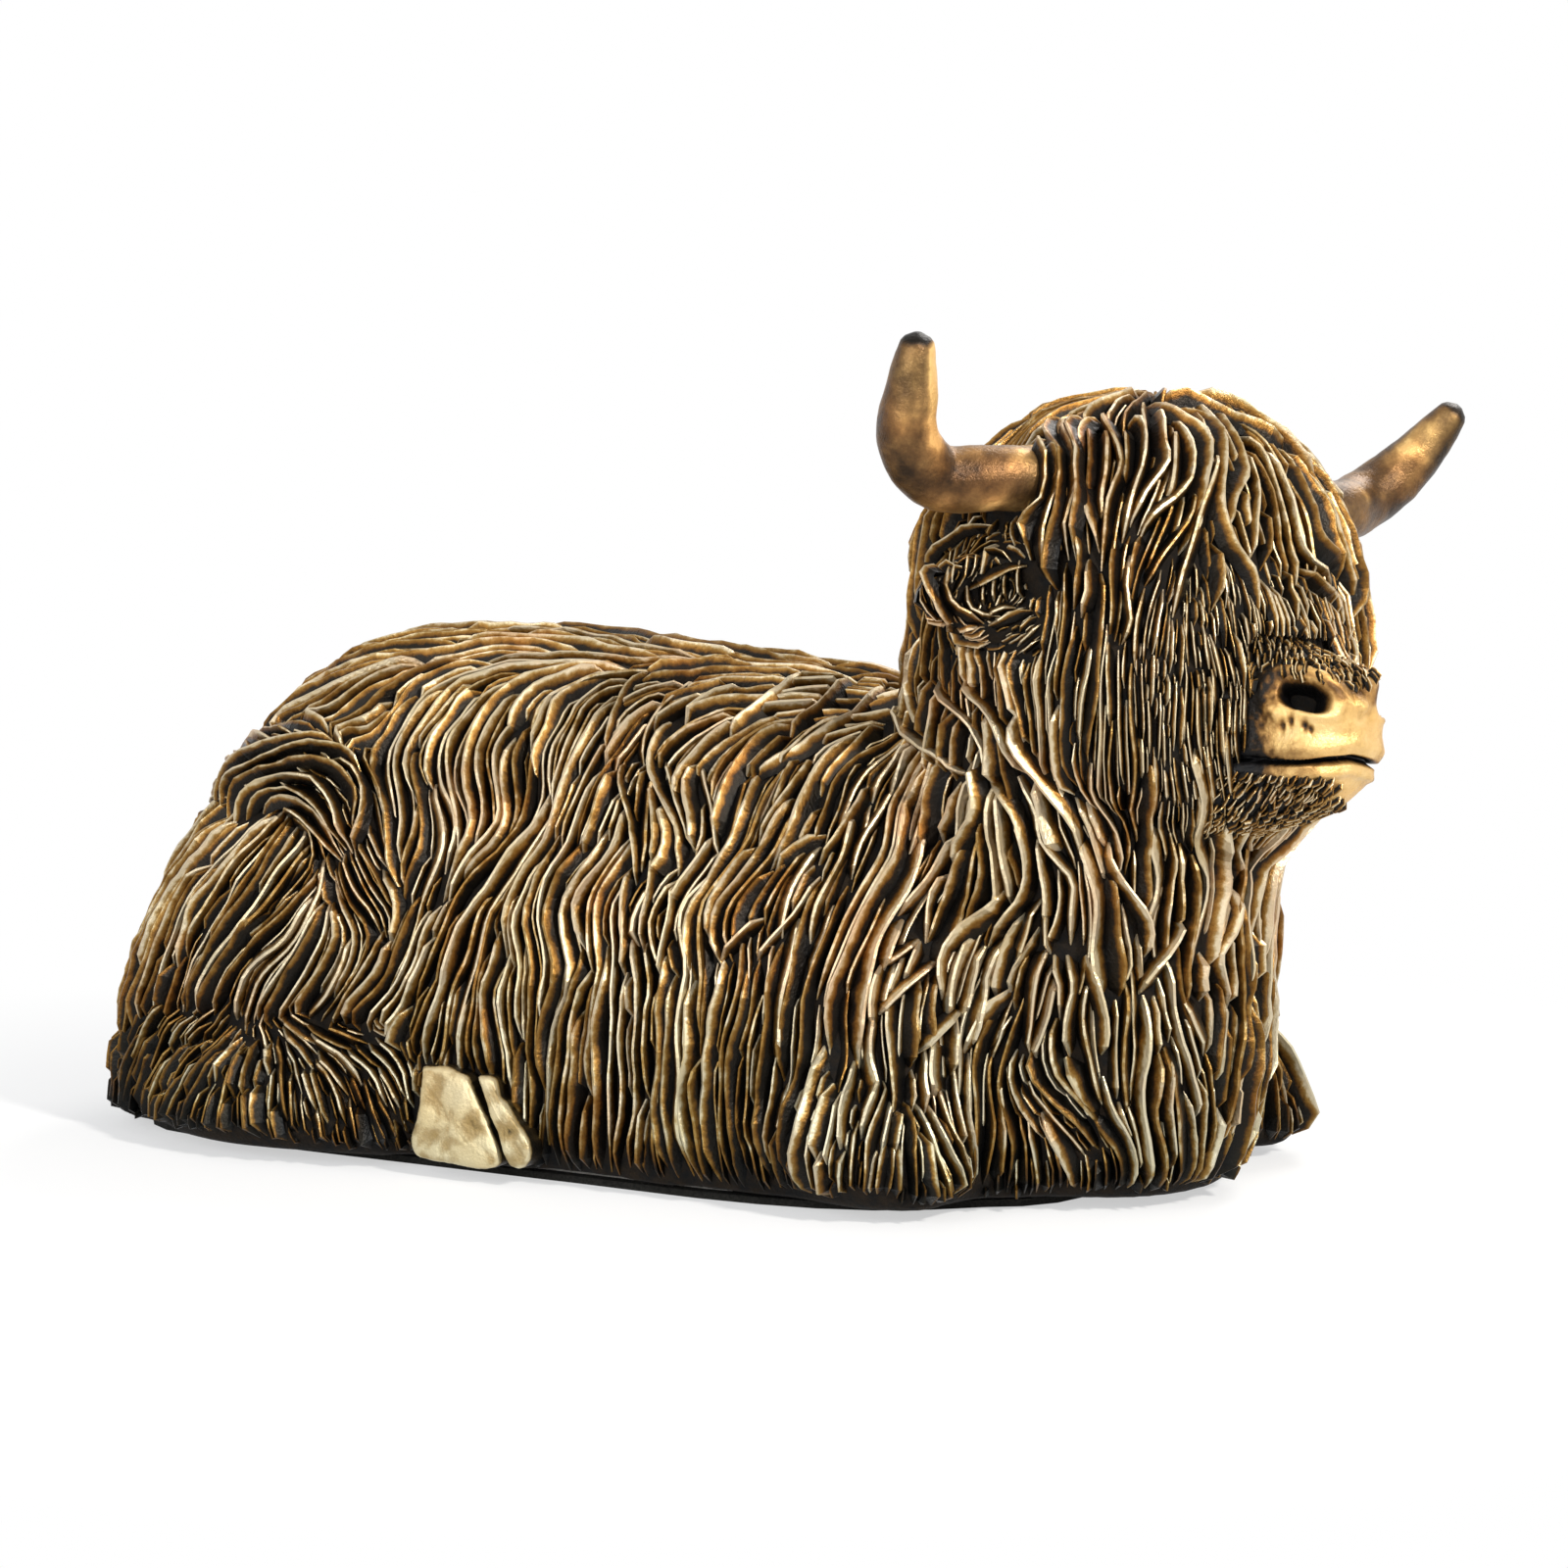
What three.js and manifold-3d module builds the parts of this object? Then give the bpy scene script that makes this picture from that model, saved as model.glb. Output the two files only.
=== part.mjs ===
// A long-haired highland cow lying down: a shelf ornament cast in bronze resin.
// The body, the head and the horns are separate castings, pinned and glued together. The body is a shell
// backed with a heavy filler, and a felt pad covers its underside.
// Millimetres: +X to the animal's front, +Y to its left, +Z up, from the middle of the pad's underside.

import * as THREE from "three";
import { mergeVertices } from "three/addons/utils/BufferGeometryUtils.js";
import Module from "manifold-3d";

const wasm = await Module();
wasm.setup();

// Torso
const BODY_LENGTH = 212; // rump to breast
const BODY_WIDTH = 97; // across the hem of the coat
const BACK_HEIGHT = 90; // underside to the top of the back
const SQUARENESS = 2.15; // power of the superellipse that each section is part of
const HAUNCH_SWELL = 5; // how far the haunches stand out of the flanks
const SHOULDER_SWELL = 5;
const PAD_THICKNESS = 1.2;
const PAD_PROUD = 0.2; // the pad lies in a recess and stands this far out of it
const PAD_INSET = 5; // the pad stops this far inside the hem
const SHELL_WALL = 7; // least wall of the body casting
const SHELL_FRONT = 0.64; // share of the body's length where the filled hollow ends
const SEAT_GAP = 0.3; // glue gap at every seat

// Neck and the seat where the head is pinned on
const CHEST_RADIUS = 30.5; // the neck and chest are one column of long hair
const NECK_RADIUS = 31;
const NECK_SEAT = 0.6; // share of the neck's path where the two castings meet
const SEAT_TILT = THREE.MathUtils.degToRad(27); // the seat falls towards the throat
const DOWEL_DIAMETER = 5;
const DOWEL_LENGTH = 26;
const DOWEL_SPACING = 22;

// Head, in its own frame: +x along the face, +y to the animal's left
const HEAD_WIDTH = 70;
const HEAD_LENGTH = 70; // nape to nose
const MUZZLE_REACH = 41.5; // head centre to the front of the nose
const MUZZLE_SWING = 3.8; // how far the nose leans to the left
const CROWN_HEIGHT = 31; // above the head centre
const CHIN_DROP = 36; // below the head centre
const NOSTRIL_SPACING = 15;
const NOSTRIL_DEPTH = 9;
const MOUTH_GAP = 1.4;
const HEAD_TURN = THREE.MathUtils.degToRad(-25); // towards the animal's right
const HEAD_TILT = THREE.MathUtils.degToRad(-5.5); // right horn carried higher
const EAR_LENGTH = 28;
const EAR_HEIGHT = 16;
const EAR_THICKNESS = 10;

// Horns: out, back and up from where they leave the hair
const HORN_DIAMETER = 10.6;
const HORN_LEVEL = 14.5; // head centre up to the roots
const HORN_SPREAD = 25;
const HORN_RISE = 21;
const HORN_SWEEP = 8.5;
const HORN_ROOT = 11; // length set into the head
const HORN_PIN_DIAMETER = 2.5;
const HORN_PIN_LENGTH = 20;

// Legs and tail
const SHANK_DIAMETER = 25;
const FOREARM_DIAMETER = 31;
const HOOF_LENGTH = 24;
const HOOF_WIDTH = 15;
const HOOF_HEIGHT = 19;
const TAIL_DIAMETER = 12;

// Coat: thick locks side by side, with a sharp parting between each two
const LOCK_RELIEF = 2.2; // height of a lock's top over its partings
const LOCK_STEPS = 3; // columns of points across a lock: one in the parting, two on its top
const FLANK_LOCKS = 44; // rump to breast, on each side
const FLANK_SWEEP = 0.1; // share of the length that a lock sweeps back from the spine
const FLANK_WAVE = 0.013; // share of the length that a lock sways as it falls
const FLANK_TURNS = 1.4; // waves from the spine to the hem
const FLANK_DRIFT = 0.8; // waves that the locks of the rump are ahead of the breast's
const NECK_LOCKS = 25; // all round the neck and chest
const NECK_WAVE = 0.6; // locks' widths that a lock sways as it falls
const NECK_TURNS = 2.5; // waves from the ground to the nape
const LEG_LOCKS = 7;
const FRINGE_LOCKS = 23; // all round the crown
const FRINGE_RELIEF = 3.4;
const CROWN_PLACE = 0.3; // share of the head's length
const FRINGE_START = 20; // from the crown to where the locks are full

const UP = new THREE.Vector3(0, 0, 1);
const LEFT = new THREE.Vector3(0, 1, 0);
const FORWARD = new THREE.Vector3(1, 0, 0);
const SIDES = [-1, 1]; // right, left

// A point of the body by its shares of the length, half the width and the back's height.
function place(along, side, up) {
  const x = (along - 0.5) * BODY_LENGTH;
  return new THREE.Vector3(x, (side * BODY_WIDTH) / 2, PAD_PROUD + up * BACK_HEIGHT);
}

// A closed geometry as a solid that can be joined and cut.
function solidOf(geometry) {
  const bare = geometry.clone();
  bare.deleteAttribute("normal");
  bare.deleteAttribute("uv");
  const merged = mergeVertices(bare, 1e-4);
  return new wasm.Manifold(
    new wasm.Mesh({
      numProp: 3,
      vertProperties: merged.attributes.position.array,
      triVerts: new Uint32Array(merged.index.array),
    }),
  );
}

function geometryOf(solid) {
  const { vertProperties, triVerts } = solid.getMesh();
  const geometry = new THREE.BufferGeometry();
  geometry.setAttribute("position", new THREE.BufferAttribute(vertProperties, 3));
  geometry.setIndex(new THREE.BufferAttribute(triVerts, 1));
  geometry.computeVertexNormals();
  return geometry;
}

function fuse(...geometries) {
  return geometries.map(solidOf).reduce((whole, part) => whole.add(part));
}

function carve(solid, ...geometries) {
  return geometries.reduce((left, tool) => left.subtract(solidOf(tool)), solid);
}

// A closed skin over rings of points, folded along the shorter diagonal of each cell. Each ring runs
// anticlockwise as seen from the way the rings go.
function loft(rings) {
  const sides = rings[0].length;
  const points = rings.flat();
  const faces = [];
  for (let i = 0; i + 1 < rings.length; i++) {
    for (let j = 0; j < sides; j++) {
      const a = i * sides + j;
      const b = i * sides + ((j + 1) % sides);
      const [c, d] = [b + sides, a + sides];
      const direct = points[a].distanceTo(points[c]) < points[b].distanceTo(points[d]);
      faces.push(...(direct ? [a, b, c, a, c, d] : [a, b, d, b, c, d]));
    }
  }
  const middle = (ring) => ring.reduce((sum, p) => sum.add(p), new THREE.Vector3()).divideScalar(sides);
  const cap = points.push(middle(rings[0]), middle(rings.at(-1))) - 2;
  const lastRing = (rings.length - 1) * sides;
  for (let j = 0; j < sides; j++) {
    const next = (j + 1) % sides;
    faces.push(cap, next, j, cap + 1, lastRing + j, lastRing + next);
  }
  return new THREE.BufferGeometry().setFromPoints(points).setIndex(faces);
}

// The rings of points that a function gives from shares of the way along and of the way round.
function ringsOf(count, sides, pointAt) {
  const steps = (n) => Array.from({ length: n }, (_, i) => i);
  return steps(count + 1).map((i) => steps(sides).map((j) => pointAt(i / count, j / sides)));
}

// How far hair stands out of the skin, by a count of locks across it: round tops and sharp partings.
const lockRelief = (locks, height) => height * (Math.abs(Math.sin(Math.PI * locks)) - 0.5);

// A round limb along a smooth path, with radii spaced evenly along it, and with wavy locks round it if any.
// Each ring starts in the direction square to the path and to across.
function limb({ path, radii, across, locks = 0, wave = 0, turns = 0, sides = 14, steps = 12 }) {
  const curve = new THREE.CatmullRomCurve3(path);
  const swell = new THREE.CatmullRomCurve3(radii.map((r, i) => new THREE.Vector3(i, r, 0)));
  return loft(
    ringsOf(steps, sides, (share, round) => {
      const tangent = curve.getTangentAt(share);
      const out = new THREE.Vector3().crossVectors(across, tangent).normalize();
      const radius = swell.getPoint(share).y;
      const relief = locks && (lockRelief(locks * round, LOCK_RELIEF) * radius) / Math.max(...radii);
      const sway = locks && (wave * Math.sin(2 * Math.PI * turns * share)) / locks;
      out.applyAxisAngle(tangent, 2 * Math.PI * (round + sway));
      return curve.getPointAt(share).addScaledVector(out, radius + relief);
    }),
  );
}

// A rounded mass: half sizes along x, y and z, turned, then set at its centre.
function mass(centre, half, turn = new THREE.Euler(), around = 16, down = 10) {
  const geometry = new THREE.SphereGeometry(1, around, down);
  geometry.scale(half.x, half.y, half.z);
  geometry.applyMatrix4(new THREE.Matrix4().makeRotationFromEuler(turn));
  return geometry.translate(centre.x, centre.y, centre.z);
}

// A bar from one point, along a direction.
function bar(start, direction, length, diameter, sides = 16) {
  const geometry = new THREE.CylinderGeometry(diameter / 2, diameter / 2, length, sides);
  geometry.translate(0, length / 2, 0);
  geometry.applyQuaternion(new THREE.Quaternion().setFromUnitVectors(LEFT, direction));
  return geometry.translate(start.x, start.y, start.z);
}

// Everything on the side of a plane that its direction points to.
function halfSpace(point, direction) {
  const reach = 4 * BODY_LENGTH;
  const geometry = new THREE.BoxGeometry(reach, reach, reach).translate(0, 0, reach / 2);
  geometry.applyQuaternion(new THREE.Quaternion().setFromUnitVectors(UP, direction));
  return geometry.translate(point.x, point.y, point.z);
}

// Smooth values between the rows of a table whose first column is where each row stands.
function smoothTable(rows) {
  const width = rows[0].length - 1;
  const places = rows.map((row) => row[0]);
  const values = rows.flatMap((row) => row.slice(1));
  return new THREE.CubicInterpolant(places, values, width, new Float32Array(width));
}

const bell = (distance, reach) => Math.exp(-((distance / reach) ** 2));

// Keeps the sign and bends a sine or cosine towards a squarer section.
const squared = (value) => Math.sign(value) * Math.abs(value) ** (2 / SQUARENESS);

// Shares that crowd towards both ends, where a form rounds off.
const rounded = (share) => (1 - Math.cos(Math.PI * share)) / 2;

// Sections of the torso from rump to breast: shares of the length, half the width and the height.
const TORSO_SECTIONS = [
  [0.0, 0.5, 0.1],
  [0.01, 0.75, 0.35],
  [0.04, 0.92, 0.575],
  [0.09, 0.98, 0.785],
  [0.16, 1.0, 0.94],
  [0.31, 1.0, 1.0],
  [0.5, 0.99, 0.97],
  [0.68, 0.95, 0.93],
  [0.78, 0.82, 0.86],
  [0.84, 0.62, 0.76],
  [0.89, 0.38, 0.56],
  [0.9, 0.2, 0.3],
];
const TORSO_END = TORSO_SECTIONS.at(-1)[0];
const torsoTable = smoothTable(TORSO_SECTIONS);

// A point of the torso's skin, drawn in by sunk. Each section is an arch on the flat underside, and turn
// runs over it from the left hem, 0, by the spine to the right hem, pi.
function torsoPoint(along, turn, sunk = 0) {
  const [width, height] = torsoTable.evaluate(along);
  const rise = squared(Math.sin(turn));
  const swell = HAUNCH_SWELL * bell(along - 0.21, 0.15) + SHOULDER_SWELL * bell(along - 0.7, 0.12);
  const flank = (width * BODY_WIDTH) / 2 + swell * bell(rise - 0.5, 0.35);
  const x = (along - 0.5) * (BODY_LENGTH - 2 * sunk);
  const y = Math.max(flank - sunk, sunk / 2) * squared(Math.cos(turn));
  return new THREE.Vector3(x, y, PAD_PROUD + Math.max(height * BACK_HEIGHT - sunk, sunk / 2) * rise);
}

// The torso as arches of points, each set by a function of the shares along and of the turn.
function torso(count, sides, pointAt) {
  const closing = sides / (sides - 1); // the last point of each arch lies on the right hem
  const turnAt = (round) => Math.PI * Math.min(round * closing, 1);
  return loft(ringsOf(count, sides, (share, round) => pointAt(share, turnAt(round))));
}

// The flanks' locks part at the spine, sweep back and fall in waves to the hem. The columns of points run
// along them, so that each parting is sharp.
function flankPoint(share, turn) {
  const fall = Math.abs(turn / (Math.PI / 2) - 1);
  const wave = FLANK_WAVE * Math.sin(2 * Math.PI * (FLANK_TURNS * fall + FLANK_DRIFT * share));
  const sweep = FLANK_SWEEP * (1 - fall) ** 2 + wave;
  const along = (TORSO_END * (share + rounded(share))) / 2 + sweep * Math.sin(Math.PI * share);
  return torsoPoint(along, turn, -lockRelief(FLANK_LOCKS * share, LOCK_RELIEF) * Math.sqrt(fall));
}

// Neck: one column of hair from the ground by the chest to the nape. Both castings are cut from it, so that
// their sides run on across the seat.
const neckPath = [
  place(0.87, 0, -0.02),
  place(0.853, 0, 0.42),
  place(0.855, 0, 0.8),
  place(0.86, 0, 1.1),
  place(0.856, 0, 1.33),
  place(0.858, 0, 1.45),
];
const neckGeometry = limb({
  path: neckPath,
  radii: [
    ...[0.72, 0.96, 1, 1.02].map((share) => share * CHEST_RADIUS),
    ...[1, 1, 0.95, 0.25].map((share) => share * NECK_RADIUS),
  ],
  across: LEFT,
  locks: NECK_LOCKS,
  wave: NECK_WAVE,
  turns: NECK_TURNS,
  sides: LOCK_STEPS * NECK_LOCKS,
  steps: 22,
});
const seatPoint = new THREE.CatmullRomCurve3(neckPath).getPointAt(NECK_SEAT);
const seatNormal = new THREE.Vector3(Math.sin(SEAT_TILT), 0, Math.cos(SEAT_TILT));

// Where each casting's face lies, on either side of the glue.
function seatPlane(side) {
  return halfSpace(seatPoint.clone().addScaledVector(seatNormal, (side * SEAT_GAP) / 2), seatNormal);
}

// Dowels stand square to the seat, half in each casting.
function dowel(side, clearance) {
  const start = seatPoint
    .clone()
    .addScaledVector(LEFT, (side * DOWEL_SPACING) / 2)
    .addScaledVector(seatNormal, -DOWEL_LENGTH / 2 - clearance);
  return bar(start, seatNormal, DOWEL_LENGTH + 2 * clearance, DOWEL_DIAMETER + 2 * clearance);
}

// A cloven hoof, lying on its side: a broad toe at the heel and a narrow one in front of it.
function hoof(heel) {
  const toes = [{ middle: 0.36, long: 0.72 }, { middle: 0.84, long: 0.32 }];
  return toes.map(({ middle, long }) => {
    const half = new THREE.Vector3(long * HOOF_LENGTH, HOOF_WIDTH, HOOF_HEIGHT).divideScalar(2);
    return mass(heel.clone().addScaledVector(FORWARD, middle * HOOF_LENGTH), half);
  });
}

// The hind leg lies folded along the hem, with the hoof showing in front of the shank.
function hindLeg(side) {
  const path = [
    place(0.07, 0.62 * side, 0.08),
    place(0.16, 0.93 * side, 0.07),
    place(0.35, 0.91 * side, 0.06),
  ];
  const radii = [0.7, 1, 0.95, 0.75].map((share) => (share * SHANK_DIAMETER) / 2);
  return [limb({ path, radii, across: UP, locks: LEG_LOCKS }), ...hoof(place(0.36, 0.93 * side, 0.085))];
}

// The foreleg is tucked under the chest, and its forearm and knee swell out. The left lies further forward.
function foreLeg(side) {
  const reach = side > 0 ? 0.13 : 0;
  const path = [
    place(0.64 + reach, 0.6 * side, 0.22),
    place(0.75 + reach, 0.75 * side, 0.12),
    place(0.83 + reach, 0.79 * side, 0.02),
  ];
  const radii = [0.8, 1, 1, 0.9, 0.35].map((share) => (share * FOREARM_DIAMETER) / 2);
  return limb({ path, radii, across: UP, locks: LEG_LOCKS });
}

// The tail comes round the rump, lies over the right haunch, and ends in a tuft.
function tail() {
  const lie = [[0.03, 92], [0.1, 120], [0.2, 129], [0.265, 137], [0.3, 147]];
  const path = lie.map(([along, degrees], i) => {
    return torsoPoint(along, THREE.MathUtils.degToRad(degrees), TAIL_DIAMETER / (i ? 6 : 2));
  });
  const radii = [0.75, 0.75, 1, 1.15, 0.25].map((share) => (share * TAIL_DIAMETER) / 2);
  return limb({ path, radii, across: UP, sides: 10, steps: 14 });
}

// The hollow and its filler end at a wall behind the neck.
function hollow(gap) {
  const wall = place(SHELL_FRONT, 0, 0).addScaledVector(FORWARD, -gap);
  const back = halfSpace(wall, FORWARD.clone().negate());
  const overPad = halfSpace(new THREE.Vector3(0, 0, PAD_THICKNESS), UP);
  const lining = (share, turn) => torsoPoint(TORSO_END * rounded(share), turn, SHELL_WALL + gap);
  const inside = solidOf(torso(16, 15, lining));
  return inside.intersect(solidOf(back)).intersect(solidOf(overPad));
}

function bodyCasting() {
  const underside = halfSpace(place(0, 0, 0), UP);
  const whole = fuse(
    torso(LOCK_STEPS * FLANK_LOCKS, 24, flankPoint),
    neckGeometry,
    headShape.clone().applyMatrix4(headGroup.matrix),
    ...SIDES.flatMap(hindLeg),
    ...SIDES.map(foreLeg),
    tail(),
  );
  const stood = whole.intersect(solidOf(underside)).subtract(hollow(0));
  return carve(stood, pad(SEAT_GAP), seatPlane(-1), ...SIDES.map((side) => dowel(side, SEAT_GAP)));
}

// The pad is cut to the torso's footprint. Its recess is the same form with a clearance round it.
function pad(clearance) {
  const steps = 24;
  const stations = Array.from({ length: steps + 1 }, (_, i) => TORSO_END * rounded(i / steps));
  const hem = stations.map((along) => torsoPoint(along, 0, PAD_INSET - clearance));
  const outline = [
    ...hem.map(({ x, y }) => new THREE.Vector2(x, -y)),
    ...hem.reverse().map(({ x, y }) => new THREE.Vector2(x, y)),
  ];
  return new THREE.ExtrudeGeometry(new THREE.Shape(outline), { depth: PAD_THICKNESS, bevelEnabled: false });
}

// Head frame: its centre sits over the end of the neck.
const headGroup = new THREE.Group();
headGroup.position.copy(place(0.926, 0, 1.125));
headGroup.rotation.set(HEAD_TILT, 0, HEAD_TURN, "ZYX");
headGroup.updateMatrix();
const toHead = headGroup.matrix.clone().invert();

// Sections of the head from nape to nose: shares of the length from the nape, half the width, the crown's
// height and the chin's drop. The long hair beside the face is part of it.
const HEAD_SECTIONS = [
  [0.0, 0.2, 0.1, 0.1],
  [0.04, 0.55, 0.6, 0.5],
  [0.14, 0.86, 0.9, 0.95],
  [0.36, 1.0, 1.0, 1.25],
  [0.52, 0.97, 0.88, 1.3],
  [0.66, 0.78, 0.5, 1.2],
  [0.77, 0.5, 0.0, 1.04],
  [0.86, 0.34, -0.26, 0.96],
  [0.93, 0.29, -0.3, 0.9],
  [0.975, 0.23, -0.38, 0.8],
  [1.0, 0.08, -0.58, 0.64],
];
const headTable = smoothTable(HEAD_SECTIONS);

// A point of the head's skin. Turn 0 is its left side, and the crown is at a quarter turn.
function headPoint(along, turn, sunk = 0) {
  const [width, crown, chin] = headTable.evaluate(along);
  const top = crown * CROWN_HEIGHT - sunk;
  const bottom = sunk - chin * CHIN_DROP;
  const swing = MUZZLE_SWING * THREE.MathUtils.smoothstep(along, 0.66, 0.93);
  const y = swing + ((width * HEAD_WIDTH) / 2 - sunk) * squared(Math.cos(turn));
  const z = (top + bottom) / 2 + ((top - bottom) / 2) * squared(Math.sin(turn));
  return new THREE.Vector3(MUZZLE_REACH - (1 - along) * HEAD_LENGTH, y, z);
}

// The fringe fans out from the crown, hangs over the eyes and beside the face, and stops at the muzzle.
function fringeRelief(along, turn) {
  const skin = headPoint(along, turn);
  const crown = headPoint(CROWN_PLACE, Math.PI / 2);
  const locks = (FRINGE_LOCKS * Math.atan2(skin.y, skin.x - crown.x)) / (2 * Math.PI);
  const reach = Math.min(Math.hypot(skin.y, skin.x - crown.x) / FRINGE_START, 1);
  return lockRelief(locks, FRINGE_RELIEF) * reach * (1 - THREE.MathUtils.smoothstep(along, 0.66, 0.8));
}

const headShape = loft(
  ringsOf(33, 64, (share, round) => {
    const turn = 2 * Math.PI * round;
    return headPoint(rounded(share), turn, -fringeRelief(rounded(share), turn));
  }),
);

// Each horn's path in shares of its sweep, spread and rise, from the side of the head. No two are alike.
const HORNS = {
  right: {
    side: -1,
    path: [[-0.25, 0.05, 0], [-0.7, 0.44, -0.03], [-0.55, 0.73, 0.22], [-0.24, 0.82, 0.6], [0.02, 0.87, 1]],
  },
  left: {
    side: 1,
    path: [[-0.25, 0.05, 0.02], [-0.6, 0.39, 0.12], [-0.5, 0.64, 0.34], [-0.1, 0.8, 0.63], [0.4, 0.92, 0.97]],
  },
};

function hornPath({ side, path }) {
  const root = new THREE.Vector3(0, side * (HEAD_WIDTH / 2 - HORN_ROOT), HORN_LEVEL);
  const shown = path.map(([sweep, out, rise]) => {
    const y = side * (HEAD_WIDTH / 2 + out * HORN_SPREAD);
    return new THREE.Vector3(sweep * HORN_SWEEP, y, HORN_LEVEL + rise * HORN_RISE);
  });
  return [root, ...shown];
}

function horn(which, clearance) {
  const path = hornPath(which);
  path[0].addScaledVector(LEFT, -which.side * clearance);
  const radii = [0.95, 0.98, 1, 1.02, 0.84, 0.28].map((share) => (share * HORN_DIAMETER) / 2 + clearance);
  const across = UP.clone().add(FORWARD).normalize();
  return limb({ path, radii, across, sides: 16, steps: 18 });
}

// A steel pin runs along the root of each horn, half in the horn and half in the head.
function hornPin(which, clearance) {
  const [root, shoulder] = hornPath(which);
  const out = shoulder.clone().sub(root).normalize();
  const start = root.addScaledVector(out, -HORN_PIN_LENGTH / 2 - clearance);
  return bar(start, out, HORN_PIN_LENGTH + 2 * clearance, HORN_PIN_DIAMETER + 2 * clearance, 12);
}

// Ears are laid back and droop a little, below the horns, and are cupped to the front.
function ear(side) {
  const out = side * (HEAD_WIDTH / 2 + EAR_LENGTH / 12);
  const centre = new THREE.Vector3(-EAR_THICKNESS / 5, out, -EAR_HEIGHT / 4);
  const turn = new THREE.Euler(-0.2 * side, 0, 0.55 * side);
  const half = new THREE.Vector3(EAR_THICKNESS / 2, EAR_LENGTH / 2, EAR_HEIGHT / 2);
  const cup = half.clone().multiply(new THREE.Vector3(0.8, 0.68, 0.6));
  const front = new THREE.Vector3(0.85 * half.x, 0.1 * side * half.y, 0).applyEuler(turn).add(centre);
  return { leaf: mass(centre, half, turn), cup: mass(front, cup, turn, 12, 8) };
}

// The nostrils are deep and open to the front and the side.
function nostril(side) {
  const depth = MUZZLE_REACH - NOSTRIL_DEPTH / 2;
  const centre = new THREE.Vector3(depth, MUZZLE_SWING + (side * NOSTRIL_SPACING) / 2, -0.43 * CHIN_DROP);
  const half = new THREE.Vector3(NOSTRIL_DEPTH / 2, 0.2 * NOSTRIL_SPACING, 0.17 * NOSTRIL_SPACING);
  return mass(centre, half, new THREE.Euler(0, 0, 0.6 * side), 12, 8);
}

// The mouth is a thin slot round the front of the muzzle.
function mouth() {
  const centre = new THREE.Vector3(0.92 * MUZZLE_REACH, MUZZLE_SWING, -0.68 * CHIN_DROP);
  const half = new THREE.Vector3(0.3 * MUZZLE_REACH, 0.3 * HEAD_WIDTH, MOUTH_GAP / 2);
  return mass(centre, half, undefined, 20, 8);
}

function headCasting() {
  const ears = SIDES.map(ear);
  const whole = fuse(
    headShape,
    neckGeometry.clone().applyMatrix4(toHead),
    ...ears.map(({ leaf }) => leaf),
  );
  const sockets = Object.values(HORNS).flatMap((which) => [horn(which, SEAT_GAP), hornPin(which, SEAT_GAP)]);
  const bores = SIDES.map((side) => dowel(side, SEAT_GAP).applyMatrix4(toHead));
  const cuts = [mouth(), ...SIDES.map(nostril), ...ears.map(({ cup }) => cup), ...sockets, ...bores];
  return carve(whole.intersect(solidOf(seatPlane(1).applyMatrix4(toHead))), ...cuts);
}

// Finishes
const BRONZE = new THREE.MeshStandardMaterial({ color: 0x6b4d28, roughness: 0.42, metalness: 0.85 });
const HORN_BRONZE = new THREE.MeshStandardMaterial({ color: 0x7d5a2c, roughness: 0.35, metalness: 0.85 });
const FILLER = new THREE.MeshStandardMaterial({ color: 0x8d8579, roughness: 0.9, metalness: 0 });
const STEEL = new THREE.MeshStandardMaterial({ color: 0x9a9b9d, roughness: 0.35, metalness: 1 });
const FELT = new THREE.MeshStandardMaterial({ color: 0x17150f, roughness: 1, metalness: 0 });

function piece(name, geometry, material) {
  const mesh = new THREE.Mesh(geometry, material);
  mesh.name = name;
  return mesh;
}

const ornament = new THREE.Group();
ornament.add(
  piece("body_casting", geometryOf(bodyCasting()), BRONZE),
  piece("core_filler", geometryOf(hollow(SEAT_GAP)), FILLER),
  piece("felt_pad", pad(0), FELT),
  piece("right_neck_dowel", dowel(-1, 0), STEEL),
  piece("left_neck_dowel", dowel(1, 0), STEEL),
  headGroup,
);
headGroup.add(piece("head_casting", geometryOf(headCasting()), BRONZE));
for (const [name, which] of Object.entries(HORNS)) {
  const drilled = carve(solidOf(horn(which, 0)), hornPin(which, SEAT_GAP));
  headGroup.add(piece(`${name}_horn`, geometryOf(drilled), HORN_BRONZE));
  headGroup.add(piece(`${name}_horn_pin`, hornPin(which, 0), STEEL));
}

export default ornament;
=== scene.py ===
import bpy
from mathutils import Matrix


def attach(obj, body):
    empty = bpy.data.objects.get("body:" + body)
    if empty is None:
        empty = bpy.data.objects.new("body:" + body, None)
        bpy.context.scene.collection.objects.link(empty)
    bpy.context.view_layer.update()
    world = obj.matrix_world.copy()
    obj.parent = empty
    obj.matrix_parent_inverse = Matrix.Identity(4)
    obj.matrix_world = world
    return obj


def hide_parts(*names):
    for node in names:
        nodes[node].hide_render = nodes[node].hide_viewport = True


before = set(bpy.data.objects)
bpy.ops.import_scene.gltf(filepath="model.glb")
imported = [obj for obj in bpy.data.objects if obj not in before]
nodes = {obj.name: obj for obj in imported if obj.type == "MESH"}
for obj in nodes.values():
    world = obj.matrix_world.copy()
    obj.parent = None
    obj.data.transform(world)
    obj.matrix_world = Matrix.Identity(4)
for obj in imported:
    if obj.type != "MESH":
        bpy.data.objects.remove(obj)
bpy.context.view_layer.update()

import math

import bmesh
import bpy
import numpy as np
from mathutils import Matrix, Vector, noise
from mathutils.bvhtree import BVHTree


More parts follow.
